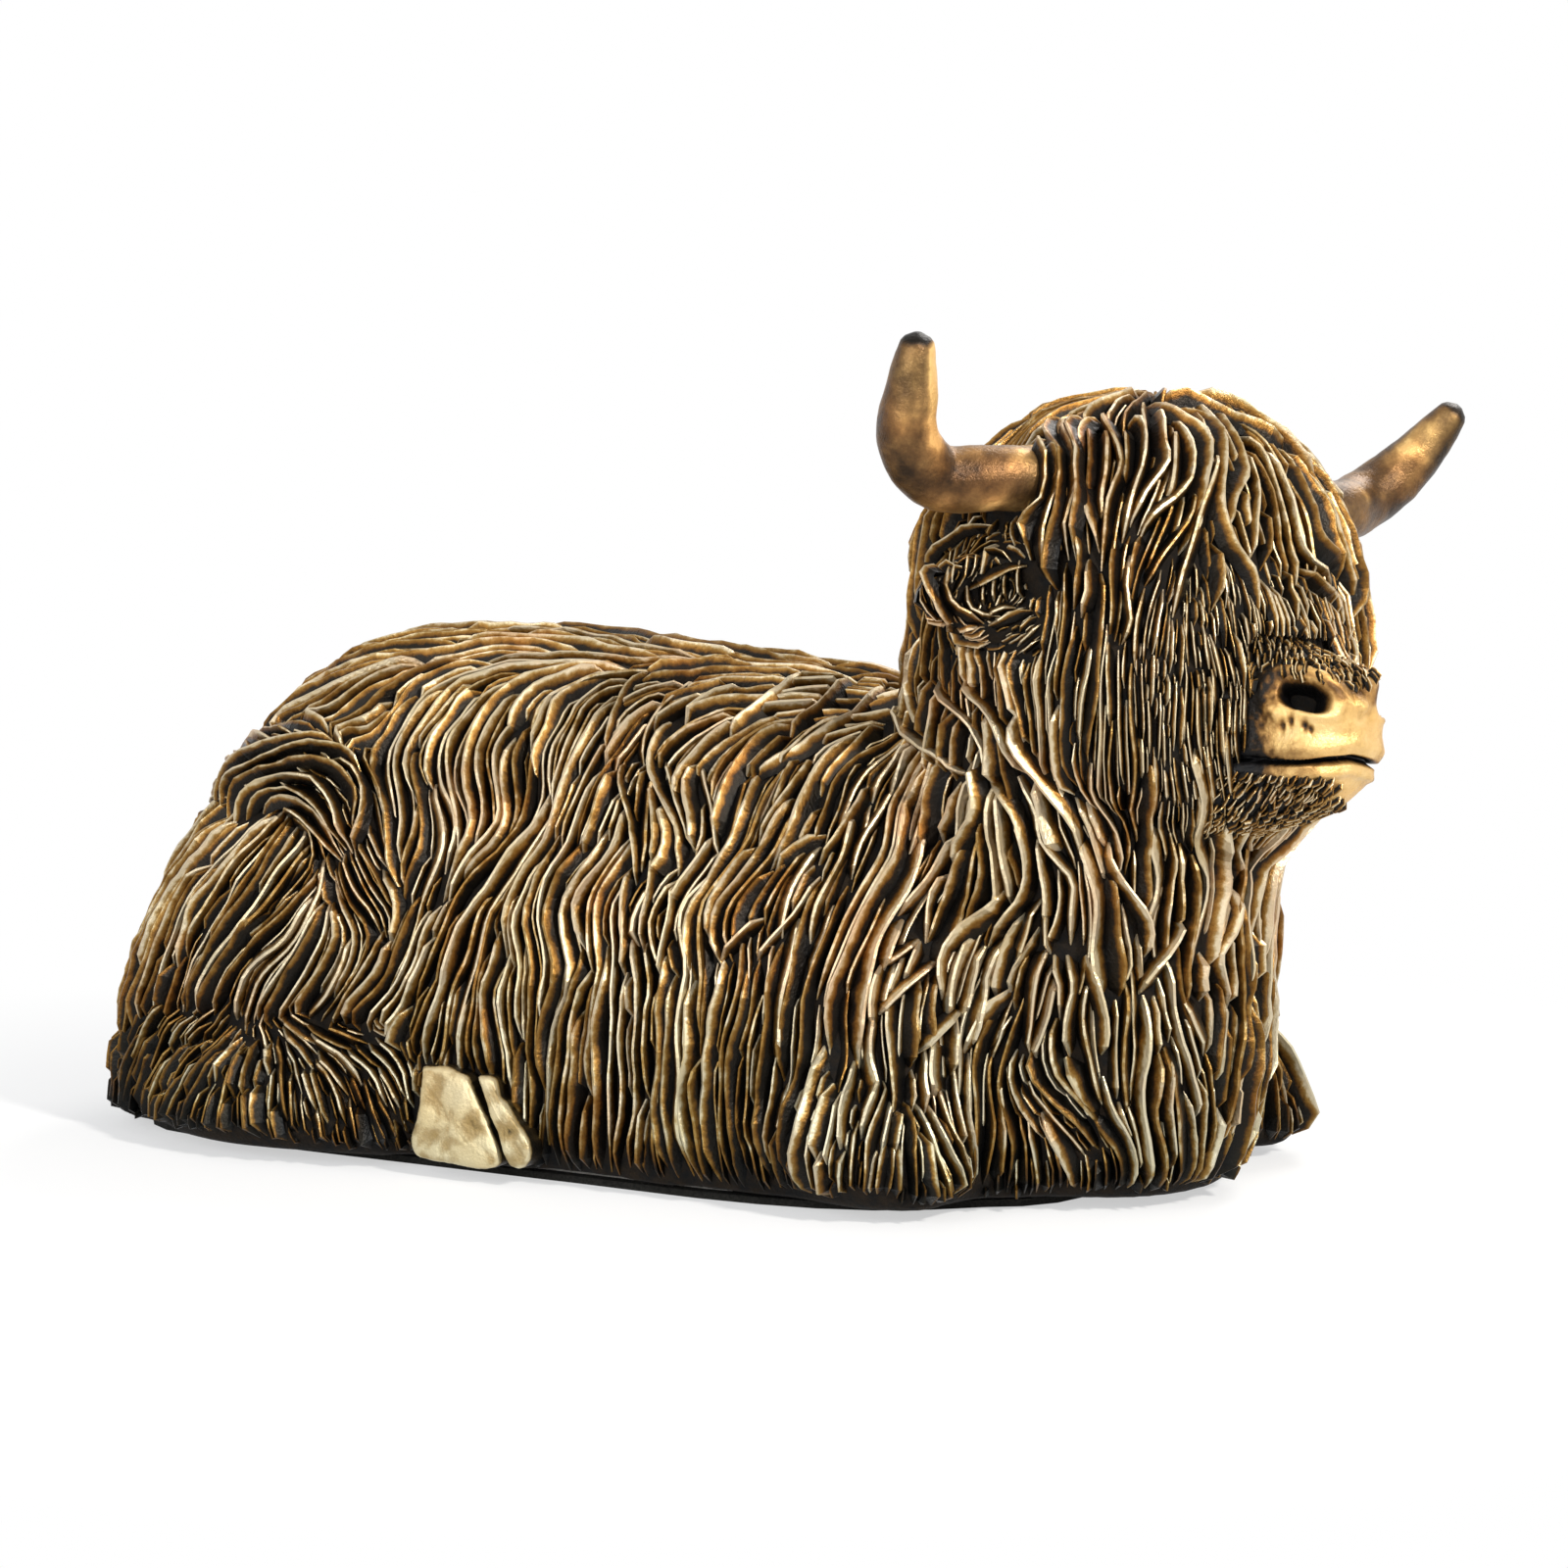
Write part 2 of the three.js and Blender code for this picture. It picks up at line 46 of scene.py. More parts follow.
def new_finish(name, roughness, metallic=0.0, gloss=0.25):
    """A finish with its node tree and its main shader."""
    finish = bpy.data.materials.new(name)
    finish.use_nodes = True
    shader = finish.node_tree.nodes["Principled BSDF"]
    shader.inputs["Roughness"].default_value = roughness
    shader.inputs["Metallic"].default_value = metallic
    shader.inputs["Specular IOR Level"].default_value = gloss
    return finish, finish.node_tree, shader


def add_node(tree, kind, sockets=None, **settings):
    """A node with its settings, and with its sockets given values or linked."""
    node = tree.nodes.new(kind)
    for setting, value in settings.items():
        setattr(node, setting, value)
    for socket, value in (sockets or {}).items():
        if isinstance(value, bpy.types.NodeSocket):
            tree.links.new(value, node.inputs[socket])
        else:
            node.inputs[socket].default_value = value
    return node


def reckon(tree, operation, *values, **settings):
    """The result of a maths node on values or on other nodes' results."""
    return add_node(tree, "ShaderNodeMath", dict(enumerate(values)), operation=operation, **settings).outputs[0]


def colour_ramp(tree, fac, stops):
    """A colour ramp over a value, from pairs of place and colour."""
    ramp = add_node(tree, "ShaderNodeValToRGB", {"Fac": fac})
    elements = ramp.color_ramp.elements
    while len(elements) < len(stops):
        elements.new(0.5)
    for element, (place, colour) in zip(elements, stops):
        element.position = place
        element.color = (*colour, 1.0)
    return ramp.outputs["Color"]


def paint(tree, shader, fac, stops):
    """Colours a finish by a value."""
    tree.links.new(colour_ramp(tree, fac, stops), shader.inputs["Base Color"])


def grain(tree, scale, detail=4.0, roughness=0.6):
    """Noise through the piece at so many cells to the metre."""
    place = add_node(tree, "ShaderNodeTexCoord").outputs["Object"]
    sockets = {"Vector": place, "Scale": scale, "Detail": detail, "Roughness": roughness}
    return add_node(tree, "ShaderNodeTexNoise", sockets).outputs["Fac"]


def bump(tree, shader, height, strength, distance):
    """Roughens a finish by a value."""
    sockets = {"Height": height, "Strength": strength, "Distance": distance}
    made = add_node(tree, "ShaderNodeBump", sockets)
    tree.links.new(made.outputs["Normal"], shader.inputs["Normal"])


def wear(node_name, finish):
    """Gives a carried-over solid its finish."""
    slots = nodes[node_name].data.materials
    slots.clear()
    slots.append(finish)


felt, tree, shader = new_finish("black_felt", roughness=0.95)
fuzz = grain(tree, scale=2200.0)
paint(tree, shader, fuzz, [(0.3, (0.006, 0.006, 0.005)), (0.7, (0.03, 0.028, 0.024))])
bump(tree, shader, fuzz, strength=0.6, distance=0.0004)
wear("felt_pad", felt)


# The filler in the hollow body: plaster and stone, poured in to give weight. It lies out of sight inside the
# body.
# The dowels in the neck and the pins in the horns are cut steel wire, glued in.
plaster, tree, shader = new_finish("filler_plaster", roughness=0.9)
speckle = grain(tree, scale=600.0)
paint(tree, shader, speckle, [(0.35, (0.33, 0.31, 0.28)), (0.7, (0.6, 0.57, 0.52))])
bump(tree, shader, speckle, strength=0.4, distance=0.0005)
wear("core_filler", plaster)

wire, tree, shader = new_finish("steel_wire", roughness=0.35, metallic=1.0)
die_marks = grain(tree, scale=1500.0, detail=2.0)
paint(tree, shader, die_marks, [(0.3, (0.42, 0.43, 0.44)), (0.7, (0.62, 0.62, 0.63))])
for name in ("right_neck_dowel", "left_neck_dowel", "right_horn_pin", "left_horn_pin"):
    wear(name, wire)


# The skin of the body and of the head: bronze-filled resin under the hair, stained almost black.
# It shows only in the partings between strands. Each casting keeps its own skin.
MM = 0.001
SKIN_DEPTH = 1.5 * MM  # the skin lies this far inside the tops of the strands
SKIN_CELL, SKIN_ROUNDS = 2.0 * MM, 14  # how finely it is remeshed, and how often smoothed
MUZZLE_ROOM = 3.0 * MM  # and this much further inside the bare muzzle
SEAT_BAND = 1.2 * MM  # the skin stays where it is this near the neck's seat
SEAT_TILT = math.radians(27.0)
SEAT_POINT = Vector((75.5, 0.0, 77.7)) * MM
SEAT_NORMAL = Vector((math.sin(SEAT_TILT), 0.0, math.cos(SEAT_TILT)))
HEAD_PLACE = (  # the head's own frame, forward, left and up from the middle of the skull
    Matrix.Translation((90.31 * MM, 0.0, 101.45 * MM))
    @ Matrix.Rotation(math.radians(-25.0), 4, "Z")
    @ Matrix.Rotation(math.radians(-5.5), 4, "X")
)
TO_HEAD = HEAD_PLACE.inverted()
HORNED_HEAD = ["head_casting", "right_horn", "left_horn", "right_horn_pin", "left_horn_pin"]


def make_object(name, data):
    """An object in the scene, with its mesh, lamp or lens."""
    made = bpy.data.objects.new(name, data)
    bpy.context.scene.collection.objects.link(made)
    return made


def plain_mesh(source):
    """The mesh of an object with its modifiers made real."""
    graph = bpy.context.evaluated_depsgraph_get()
    return bpy.data.meshes.new_from_object(source.evaluated_get(graph))


def softened(names, cell, rounds, name):
    """Solids joined, remeshed evenly and smoothed, so that the broad locks melt away."""
    form = bmesh.new()
    for node_name in names:
        form.from_mesh(nodes[node_name].data)
    bmesh.ops.remove_doubles(form, verts=form.verts, dist=1e-6)
    rough = bpy.data.meshes.new(name + "_rough")
    form.to_mesh(rough)
    form.free()
    holder = make_object(name + "_rough", rough)
    remesh = holder.modifiers.new("even", "REMESH")
    remesh.mode = "VOXEL"
    remesh.voxel_size = cell
    smooth = holder.modifiers.new("soft", "SMOOTH")
    smooth.factor = 0.5
    smooth.iterations = rounds
    mesh = plain_mesh(holder)
    mesh.name = name
    bpy.data.objects.remove(holder)
    bpy.data.meshes.remove(rough)
    return mesh


def points_of(mesh):
    """A mesh's points, one to a row."""
    flat = np.empty(len(mesh.vertices) * 3)
    mesh.vertices.foreach_get("co", flat)
    return flat.reshape(-1, 3)


def normals_of(mesh):
    """The way out of a mesh at each of its points."""
    flat = np.empty(len(mesh.vertices) * 3, np.float32)
    mesh.vertex_normals.foreach_get("vector", flat)
    return flat.reshape(-1, 3).astype(float)


def set_points(mesh, points):
    """Moves a mesh's points."""
    mesh.vertices.foreach_set("co", points.astype(np.float32).ravel())
    mesh.update()


def ease(low, high, value):
    """0 below low, 1 above high and smooth between. High may be the smaller one."""
    share = np.clip((value - low) / (high - low), 0.0, 1.0)
    return share * share * (3.0 - 2.0 * share)


def in_head(points):
    """Points in the head's own frame, in millimetres."""
    turn = np.array(TO_HEAD.to_3x3())
    return (points @ turn.T + np.array(TO_HEAD.translation)) / MM


def from_head(points):
    """Points of the head's frame, in millimetres, put in place in metres."""
    turn = np.array(HEAD_PLACE.to_3x3())
    return (points * MM) @ turn.T + np.array(HEAD_PLACE.translation)


def draw_in(mesh, depth):
    """Moves a skin inwards, but not its seat, and well inwards under the bare muzzle."""
    points = points_of(mesh)
    outward = normals_of(mesh)
    seat = np.abs((points - np.array(SEAT_POINT)) @ np.array(SEAT_NORMAL)) < SEAT_BAND
    facing = np.abs(outward @ np.array(SEAT_NORMAL)) > 0.7
    ahead = in_head(points)
    muzzle = ease(24.0, 31.0, ahead[:, 0]) * ease(4.0, -8.0, ahead[:, 2])
    shift = np.where(seat & facing, 0.0, depth + MUZZLE_ROOM * muzzle)
    set_points(mesh, points - outward * shift[:, None])


stain, tree, shader = new_finish("groove_stain", roughness=0.75, gloss=0.1)
paint(tree, shader, grain(tree, scale=420.0), [(0.35, (0.004, 0.004, 0.004)), (0.75, (0.016, 0.01, 0.005))])
bump(tree, shader, grain(tree, scale=1400.0), strength=0.5, distance=0.0006)

for name, node_name, solids in (("body_skin", "body_casting", ["body_casting"]),
                                ("head_skin", "head_casting", HORNED_HEAD)):
    mesh = softened(solids, SKIN_CELL, SKIN_ROUNDS, name)
    draw_in(mesh, SKIN_DEPTH)
    mesh.materials.clear()
    mesh.materials.append(stain)
    mesh.polygons.foreach_set("use_smooth", [True] * len(mesh.polygons))
    skin = make_object(name, mesh)
    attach(skin, "root")
    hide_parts(node_name)


# The coat: strands of resin clay rolled and laid on by hand, then cast with the body in bronze resin.
# Dark stain stays in the partings, the sides are warm brown, and the tops are rubbed back to gold.
# Strands run side by side along the lie of the hair, and some longer ones lie over the rest.
LIE_CELL, LIE_ROUNDS = 1.5 * MM, 22  # how finely the form under the coat is remeshed, and how often smoothed
lie_mesh = softened(["body_casting", "core_filler", *HORNED_HEAD], LIE_CELL, LIE_ROUNDS, "lie_of_the_coat")
lie_points = points_of(lie_mesh)
lie_normals = normals_of(lie_mesh)
lie_points -= lie_normals * SKIN_DEPTH
lie_mesh.calc_loop_triangles()
lie_faces = np.empty(len(lie_mesh.loop_triangles) * 3, np.int32)
lie_mesh.loop_triangles.foreach_get("vertices", lie_faces)
lie_faces = lie_faces.reshape(-1, 3)
bpy.data.meshes.remove(lie_mesh)
lie_tree = BVHTree.FromPolygons(lie_points.tolist(), lie_faces.tolist())
lie_face_normals = lie_normals[lie_faces].mean(axis=1)

FRAME = 1600.0  # the camera's frame is this wide and high, in the units that drawn lines are given in
LENS, SENSOR = 85.0, 36.0
FOCUS = FRAME * LENS / SENSOR
TARGET = Vector((17.4, -2.0, 65.0)) * MM
CAMERA_AWAY = 0.646
ROUND, UP = math.radians(30.0), math.radians(6.0)
BACK = Vector((math.sin(ROUND) * math.cos(UP), -math.cos(ROUND) * math.cos(UP), math.sin(UP)))
EYE = TARGET + BACK * CAMERA_AWAY
ACROSS = Vector((math.cos(ROUND), math.sin(ROUND), 0.0))
ABOVE = BACK.cross(ACROSS)
EDGE_DROP = 0.35  # a line falls over an edge where it goes back more than this, in millimetres to a unit


def sight(across, down):
    """The way from the camera through a point of its frame."""
    aside, up = (across - FRAME / 2.0) / FOCUS, (FRAME / 2.0 - down) / FOCUS
    return (ACROSS * aside + ABOVE * up - BACK).normalized()


def head_point(p):
    """A point, in millimetres, in the head's own frame."""
    return np.array(TO_HEAD @ Vector(p * MM)) / MM


def on_horn(h):
    """Whether a point of the head's frame is on a horn."""
    return abs(h[1]) > 33.5 and h[2] > 8.0


def dropped(line):
    """A line of the frame dropped onto the skin, in millimetres, all on the side of any edge that holds most."""
    depths = []
    for spot in line:
        place, _, _, far = lie_tree.ray_cast(EYE, sight(*spot))
        depths.append(None if place is None or on_horn(head_point(np.array(place) / MM)) else far / MM)
    runs = [[]]
    for i, depth in enumerate(depths):
        if depth is None:
            runs.append([])
            continue
        if runs[-1] and abs(depth - depths[i - 1]) > EDGE_DROP * math.dist(line[i], line[i - 1]):
            runs.append([])
        runs[-1].append(i)
    held = max(runs, key=len)
    if not held:
        return None
    nearest = [min(held, key=lambda j: abs(j - i)) for i in range(len(line))]
    return [np.array(EYE + sight(*spot) * depths[j] * MM) / MM for spot, j in zip(line, nearest)]


TAIL = np.array([(-99.6, -1.5, 46.0), (-84.8, -27.0, 65.0), (-63.6, -35.0, 68.0), (-49.8, -41.0, 61.0),
                 (-42.4, -45.0, 49.0)])
HOOF = np.array((-17.5, 47.0, 8.0))  # the left one's middle
HOOF_BARE = (11.5, 10.0, 8.5)  # no hair within this of it, along, across and up
CREASE_START, CREASE_END = np.array((-1.0, 62.0)), np.array((-47.0, 24.0))  # the thigh's edge, along and up
FAN = np.array((63.0, 93.0))  # where the mane and shoulder hair spreads from, along and up
FLANK_WAVE, FLANK_CREST = 22.5, 63.0  # from one wave of the flank's hair down to the next, and one's height
CROWN = np.array((-8.0, 0.0, 31.0))  # in the head's frame
CHEEK_EDGE = -8.0  # the fringe ends about here, up from the head's middle
EAR = np.array((-3.0, 38.0, -3.0))  # the left ear's middle, in the head's frame
EAR_WHORL = 5.0  # hair runs round the ear beyond this from its middle
EAR_HOLLOW = head_point(dropped([(1060.0, 585.0)])[0])  # the right ear's
HOLLOW_BARE = (2.8, 3.6, 3.2)  # no hair within this of it
MUZZLE_SWING = 3.8  # how far the nose is to the left of the skull
SWING_START, SWING_END = 17.7, 36.6  # where the muzzle starts to swing, along the head, and where it ends


def bell(distance, reach):
    """1 at no distance, and falling to nothing over about twice the reach."""
    return math.exp(-((distance / reach) ** 2))


def step(low, high, value):
    """The same as ease for a single number, and much quicker."""
    share = min(max((value - low) / (high - low), 0.0), 1.0)
    return share * share * (3.0 - 2.0 * share)


def is_head(p):
    """Whether a point, in millimetres, is on the head's side of the seat and of the nape."""
    above = (Vector(p * MM) - SEAT_POINT).dot(SEAT_NORMAL) / MM
    return above > 0.0 and p[0] > 40.0


def tail_way(p):
    """Which way the tail runs at a point near it, and how near it is, from 0 to 1."""
    best, way = 1e9, None
    for a, b in zip(TAIL[:-1], TAIL[1:]):
        along = b - a
        share = min(max(np.dot(p - a, along) / np.dot(along, along), 0.0), 1.0)
        away = np.linalg.norm(p - a - share * along)
        if away < best:
            best, way = away, along / np.linalg.norm(along)
    return way, step(10.0, 6.0, best)


def lie_on_head(p):
    """The way hair falls on the head: down and out from the crown, and round each ear."""
    h = head_point(p)
    spread = h - CROWN
    spread[2] = 0.0
    spread /= max(np.linalg.norm(spread), 1e-6)
    over_brow = 0.25 * step(-14.0, 10.0, h[0]) * step(0.0, 20.0, h[2])
    spread[0] += over_brow
    up_head = step(-26.0, 30.0, h[2])
    fall = np.array((0.0, 0.0, -1.0)) + 0.95 * spread * up_head
    if on_ear(h):
        from_middle = h * (1.0, math.copysign(1.0, h[1]), 1.0) - EAR
        if np.linalg.norm(from_middle) > EAR_WHORL:
            fall = np.array((-from_middle[2], 0.0, from_middle[0])) - (0.0, 0.0, 2.0)
    return np.array(HEAD_PLACE.to_3x3()) @ fall


def lie_on_body(p, n):
    """The way hair falls on the body: back from the spine and down in waves, with its own sweep at each limb."""
    x, _, z = p
    # Back along the spine and over the haunch, and then in waves down the flank.
    spine = 1.4 * step(0.66, 0.9, n[2])
    haunch = 0.75 * bell(x + 66.0, 26.0) * bell(z - 48.0, 24.0)
    back = 0.04 + spine + haunch
    flank = step(48.0, 26.0, x) * step(-62.0, -40.0, x) * step(0.86, 0.66, n[2]) * step(28.0, 44.0, z)
    back -= flank * (0.3 + 0.4 * math.cos(2.0 * math.pi * (z - FLANK_CREST) / FLANK_WAVE))
    back = back * step(74.0, 50.0, x) * step(4.0, 30.0, z)
    # Back over the shoulder, and out from the neck in a fan.
    shoulder = bell(x - 70.0, 14.0) * bell(z - 40.0, 18.0) * step(0.8, 0.4, n[0])
    back += shoulder
    away = np.array((x - FAN[0], 0.0, z - FAN[1]))
    reach = np.linalg.norm(away)
    fan = 1.3 * bell(reach, 42.0) * step(2.0, 10.0, reach)
    way = np.array((-back, 0.0, -1.0)) + fan * away / max(reach, 1e-6)
    # Along the thigh's edge.
    crease = CREASE_END - CREASE_START
    share = min(max(np.dot(p[[0, 2]] - CREASE_START, crease) / np.dot(crease, crease), 0.0), 1.0)
    off = np.linalg.norm(p[[0, 2]] - CREASE_START - share * crease)
    pull = 1.5 * bell(off, 9.0) * step(0.75, 0.4, n[2])
    way = way + pull * np.array((crease[0], 0.0, crease[1])) / np.linalg.norm(crease)
    # Along the folded shank towards the hoof, and along the tail.
    shank = step(-102.0, -92.0, x) * step(-24.0, -36.0, x) * step(0.5, -1.0, z - shank_top(p))
    lean = -0.35 + 1.5 * step(-78.0, -36.0, x)
    way = way * (1.0 - shank) + shank * np.array((lean, 0.0, -0.25 - step(24.0, 12.0, z)))
    along, near = tail_way(p)
    return way * (1.0 - near) + along * near * 2.0


def lie_of_hair(p, n):
    """The way hair lies at a point of the skin with normal n, in millimetres."""
    way = lie_on_head(p) if is_head(p) else lie_on_body(p, n)
    # It waves a little everywhere, and most on the chest.
    waves = 0.42 * noise.noise(Vector(p) / 13.0) + 0.3 * noise.noise(Vector(p) / 33.0 + Vector((7, 3, 1)))
    chest = 0.8 * step(60.0, 80.0, p[0]) * step(80.0, 60.0, p[2])
    waves *= 1.0 + chest
    way = way - n * np.dot(way, n)
    way /= max(np.linalg.norm(way), 1e-6)
    side = np.cross(n, way)
    return way * math.cos(waves) + side * math.sin(waves)


def on_ear(h):
    """Whether a point of the head's frame is on an ear."""
    return abs(h[1]) > 33.0 and -13.0 < h[2] < 6.5 and -15.0 < h[0] < 11.0


def shank_top(p):
    """How high the folded shank's hair reaches: it arches, with a ragged edge."""
    arch = 25.0 - 7.0 * bell(p[0] + 100.0, 14.0) - 9.0 * step(-38.0, -16.0, p[0])
    return arch + 3.0 * noise.noise(Vector(p) / 5.0)


TUFTS = {  # for each place, its tuft and the strands' spacing, width and length
    "ear": ("face", 1.3, 1.0, 8.0),
    "brow": ("face", 1.2, 1.0, 11.0),
    "forehead": ("fringe", 2.4, 2.3, 52.0),
    "cheek": ("face", 1.75, 1.5, 26.0),
    "nape": ("nape", 2.4, 2.2, 30.0),
    "tail": ("tail", 1.7, 1.6, 24.0),
    "shank": ("legs", 1.9, 1.8, 16.0),
    "hem": ("hem", 2.1, 2.0, 22.0),
    "neck": ("mane", 2.8, 2.6, 54.0),
    "flank": ("flank", 2.5, 2.4, 54.0),
}


def place_on_head(h):
    """The place on the head that a point of its frame belongs to, or None if bare."""
    hx, hy, hz = h
    aside = abs(hy - MUZZLE_SWING * step(SWING_START, SWING_END, hx))
    on_muzzle = hx > 27.0 and -34.0 < hz < -7.0 and aside < 9.5 + 0.6 * (hx - 27.0)
    in_hollow = np.linalg.norm(((hx, -abs(hy), hz) - EAR_HOLLOW) / HOLLOW_BARE) < 1.0
    if on_horn(h) or on_muzzle or in_hollow:
        return None
    if on_ear(h):
        return "ear"
    if hx > 19.0 and hz < 2.0:
        return "brow"
    if hx <= -16.0:
        return "nape"
    return "forehead" if hz > CHEEK_EDGE else "cheek"


def place_on_body(p):
    """The place on the body that a point belongs to."""
    x, _, z = p
    if tail_way(p)[1] > 0.5:
        return "tail"
    if z < shank_top(p) and x < -10.0:
        return "shank"
    if z < 22.0 and x > 40.0:
        return "hem"
    return "neck" if x > 48.0 else "flank"


def coat_rule(p, n):
    """The tuft that a point belongs to, with its strands' spacing, width and length, or None if bare."""
    x, y, z = p
    underneath = z < 2.5 or (n[2] < -0.55 and z < 20.0)
    if underneath or np.linalg.norm(((x, abs(y), z) - HOOF) / HOOF_BARE) < 1.0:
        return None
    return TUFTS.get(place_on_head(head_point(p)) if is_head(p) else place_on_body(p))


def to_skin(p):
    """The nearest point of the skin and its normal, in millimetres."""
    place, _, face, _ = lie_tree.find_nearest(Vector(p * MM))
    n = lie_face_normals[face]
    return np.array(place) / MM, n / np.linalg.norm(n)


class Spacing:
    """Points already taken by strands, in a grid of cells."""

    def __init__(self, cell):
        self.cell = cell
        self.cells = {}

    def add(self, p):
        """Takes a point."""
        key = tuple(int(math.floor(v / self.cell)) for v in p)
        self.cells.setdefault(key, []).append((p[0], p[1], p[2]))

    def crowded(self, p, gap):
        """Whether a taken point is nearer than the gap, which is no more than a cell."""
        kx, ky, kz = (int(math.floor(v / self.cell)) for v in p)
        px, py, pz = p
        limit = gap * gap
        for ix in (kx - 1, kx, kx + 1):
            for iy in (ky - 1, ky, ky + 1):
                for iz in (kz - 1, kz, kz + 1):
                    for qx, qy, qz in self.cells.get((ix, iy, iz), ()):
                        if (px - qx) ** 2 + (py - qy) ** 2 + (pz - qz) ** 2 < limit:
                            return True
        return False


SHARPEST = 0.2  # a strand ends where it would turn by more than this, as a cosine
MEETING = 0.55  # it has met another at this share of the spacing
LAP_BELOW, LAP_ABOVE = 1.2, 0.4  # and laps over it by so many widths
STUB = 0.25  # it is left out if cut to less than this share of its length


def trace(start, n, tuft, sign, length, gap, taken, pace, lap):
    """Follows the lie of the hair, or goes against it if the sign is -1.

    It stops where the strand is long enough or where it meets another, which it then laps over a little.
    """
    path, p, normal, last, over = [], start, n, None, None
    for _ in range(int(length / pace)):
        way = sign * lie_of_hair(p, normal)
        if last is not None and np.dot(way, last) < SHARPEST:
            break
        last = way
        p, normal = to_skin(p + pace * way)
        rule = coat_rule(p, normal)
        if rule is None:
            break
        at_shank = p[0] < 0.0 and (rule[0] == "legs") != (tuft == "legs")
        if over is None and (at_shank or taken.crowded(p, gap)):
            over = lap
        if over is not None:
            if over <= 0.0:
                break
            over -= pace
        path.append((p, normal))
    return path


FULL_TURN = 6.28  # of a strand's sway
# How far each tuft's tops are rubbed back, beside those of the flanks; the fringe's low value is painted shade.
RUBBED_AND_SHADED = {"fringe": 0.68, "face": 1.4, "legs": 0.95, "mane": 1.65, "hem": 1.7}


def painted_shade_factor(p, n):
    """How much of the rubbing shows through painted shade: little on the rump's end and behind the horns, and
    less on the body's upward faces.
    """
    back = 0.8 * step(-4.0, -14.0, head_point(p)[0]) if is_head(p) else 0.35 * step(0.75, 0.95, n[2])
    return (1.0 - 0.8 * step(-76.0, -94.0, p[0])) * (1.0 - back)


def lay_strands(rng, tries, taken, spread, slim, lift, share=1.0, only=None):
    """Lays strands on the skin, each as far as it can go, keeping their spacing.

    Spread, slim and share are what the tufts' spacing, width and length are multiplied by.
    """
    corners = lie_points[lie_faces]
    areas = np.linalg.norm(np.cross(corners[:, 1] - corners[:, 0], corners[:, 2] - corners[:, 0]), axis=1)
    picks = rng.choice(len(areas), size=tries, p=areas / areas.sum())
    mixes = rng.dirichlet((1.0, 1.0, 1.0), size=tries)
    starts = (corners[picks] * mixes[:, :, None]).sum(axis=1) / MM
    strands = []
    for start, draw in zip(starts, rng.random((tries, 6))):
        p, n = to_skin(start)
        rule = coat_rule(p, n)
        if rule is None or (only and rule[0] not in only):
            continue
        tuft, gap, width, length = rule
        gap *= spread
        if taken.crowded(p, gap):
            continue
        length *= share * (0.6 + 0.7 * draw[0]) * (0.4 + 0.6 * slim)
        ahead = 0.35 + 0.4 * draw[1]
        pace = min(1.0, 0.5 * gap)
        down = trace(p, n, tuft, 1.0, length * ahead, MEETING * gap, taken, pace, LAP_BELOW * width * slim)
        up = trace(p, n, tuft, -1.0, length * (1.0 - ahead), MEETING * gap, taken, pace, LAP_ABOVE * width * slim)
        path = up[::-1] + [(p, n)] + down
        if len(path) * pace < STUB * length or len(path) < 4:
            continue
        for q, _ in path:
            taken.add(q)
        strands.append({
            "tuft": tuft, "path": path, "width": slim * width * (0.8 + 0.45 * draw[2]),
            # The tone carries painted shade on the rump's end, on the back's top and behind the horns.
            "tone": painted_shade_factor(p, n) * RUBBED_AND_SHADED.get(tuft, 1.0) * draw[3],
            "lift": lift * draw[4], "pace": pace, "phase": FULL_TURN * draw[5],
        })
    return strands


def strand_guides(strands):
    """Vertices, edges and values of the lines that strands follow."""
    points, normals, widths, tones, edges = [], [], [], [], []
    for strand in strands:
        path = np.array([q for q, _ in strand["path"]])
        outward = np.array([n for _, n in strand["path"]])
        # The line is smoothed and stepped evenly.
        for _ in range(2):
            path[1:-1] = 0.25 * path[:-2] + 0.5 * path[1:-1] + 0.25 * path[2:]
        count = int(np.clip(len(path) * strand["pace"] / 2.0, 5, 22))
        where = np.linspace(0.0, len(path) - 1.0, count)
        low = np.minimum(where.astype(int), len(path) - 2)
        part = (where - low)[:, None]
        path = path[low] * (1.0 - part) + path[low + 1] * part
        outward = outward[low] * (1.0 - part) + outward[low + 1] * part
        t = np.linspace(0.0, 1.0, count)
        # It sways from side to side.
        reach = np.linalg.norm(path[-1] - path[0])
        aside = np.cross(outward, np.gradient(path, axis=0))
        aside /= np.maximum(np.linalg.norm(aside, axis=1, keepdims=True), 1e-6)
        sway = 0.12 * strand["width"] * np.sin(strand["phase"] + 0.36 * reach * t)
        path = path + aside * sway[:, None]
        # It is of uneven width, and thins and sinks into the skin at both ends.
        uneven = np.array([noise.noise(Vector(q) / 5.0) for q in path])
        taper = np.minimum(1.0, 0.7 + 5.0 * t) * np.minimum(1.0, 0.4 + 4.0 * (1.0 - t)) * (1.0 + 0.2 * uneven)
        rooted = np.maximum(0.0, 1.0 - 8.0 * t) + np.maximum(0.0, 1.0 - 9.0 * (1.0 - t))
        sink = 0.5 * strand["width"] * rooted
        ends = np.minimum(1.0, 5.0 * t) * np.minimum(1.0, 0.3 + 5.0 * (1.0 - t))
        path = path + outward * (strand["lift"] * ends - sink + 0.35 * uneven)[:, None]
        first = len(points)
        points.extend(path * MM)
        normals.extend(outward)
        widths.extend(strand["width"] * taper * 0.5 * MM)
        tones.extend([strand["tone"]] * count)
        edges.extend((first + i, first + i + 1) for i in range(count - 1))
    return points, edges, normals, widths, tones


def spread_out(tree, value, low, high, first=0.0, last=1.0, **settings):
    """A node's value that goes from first to last as another goes from low to high."""
    sockets = {"Value": value, "From Min": low, "From Max": high, "To Min": first, "To Max": last}
    return add_node(tree, "ShaderNodeMapRange", sockets, **settings).outputs[0]


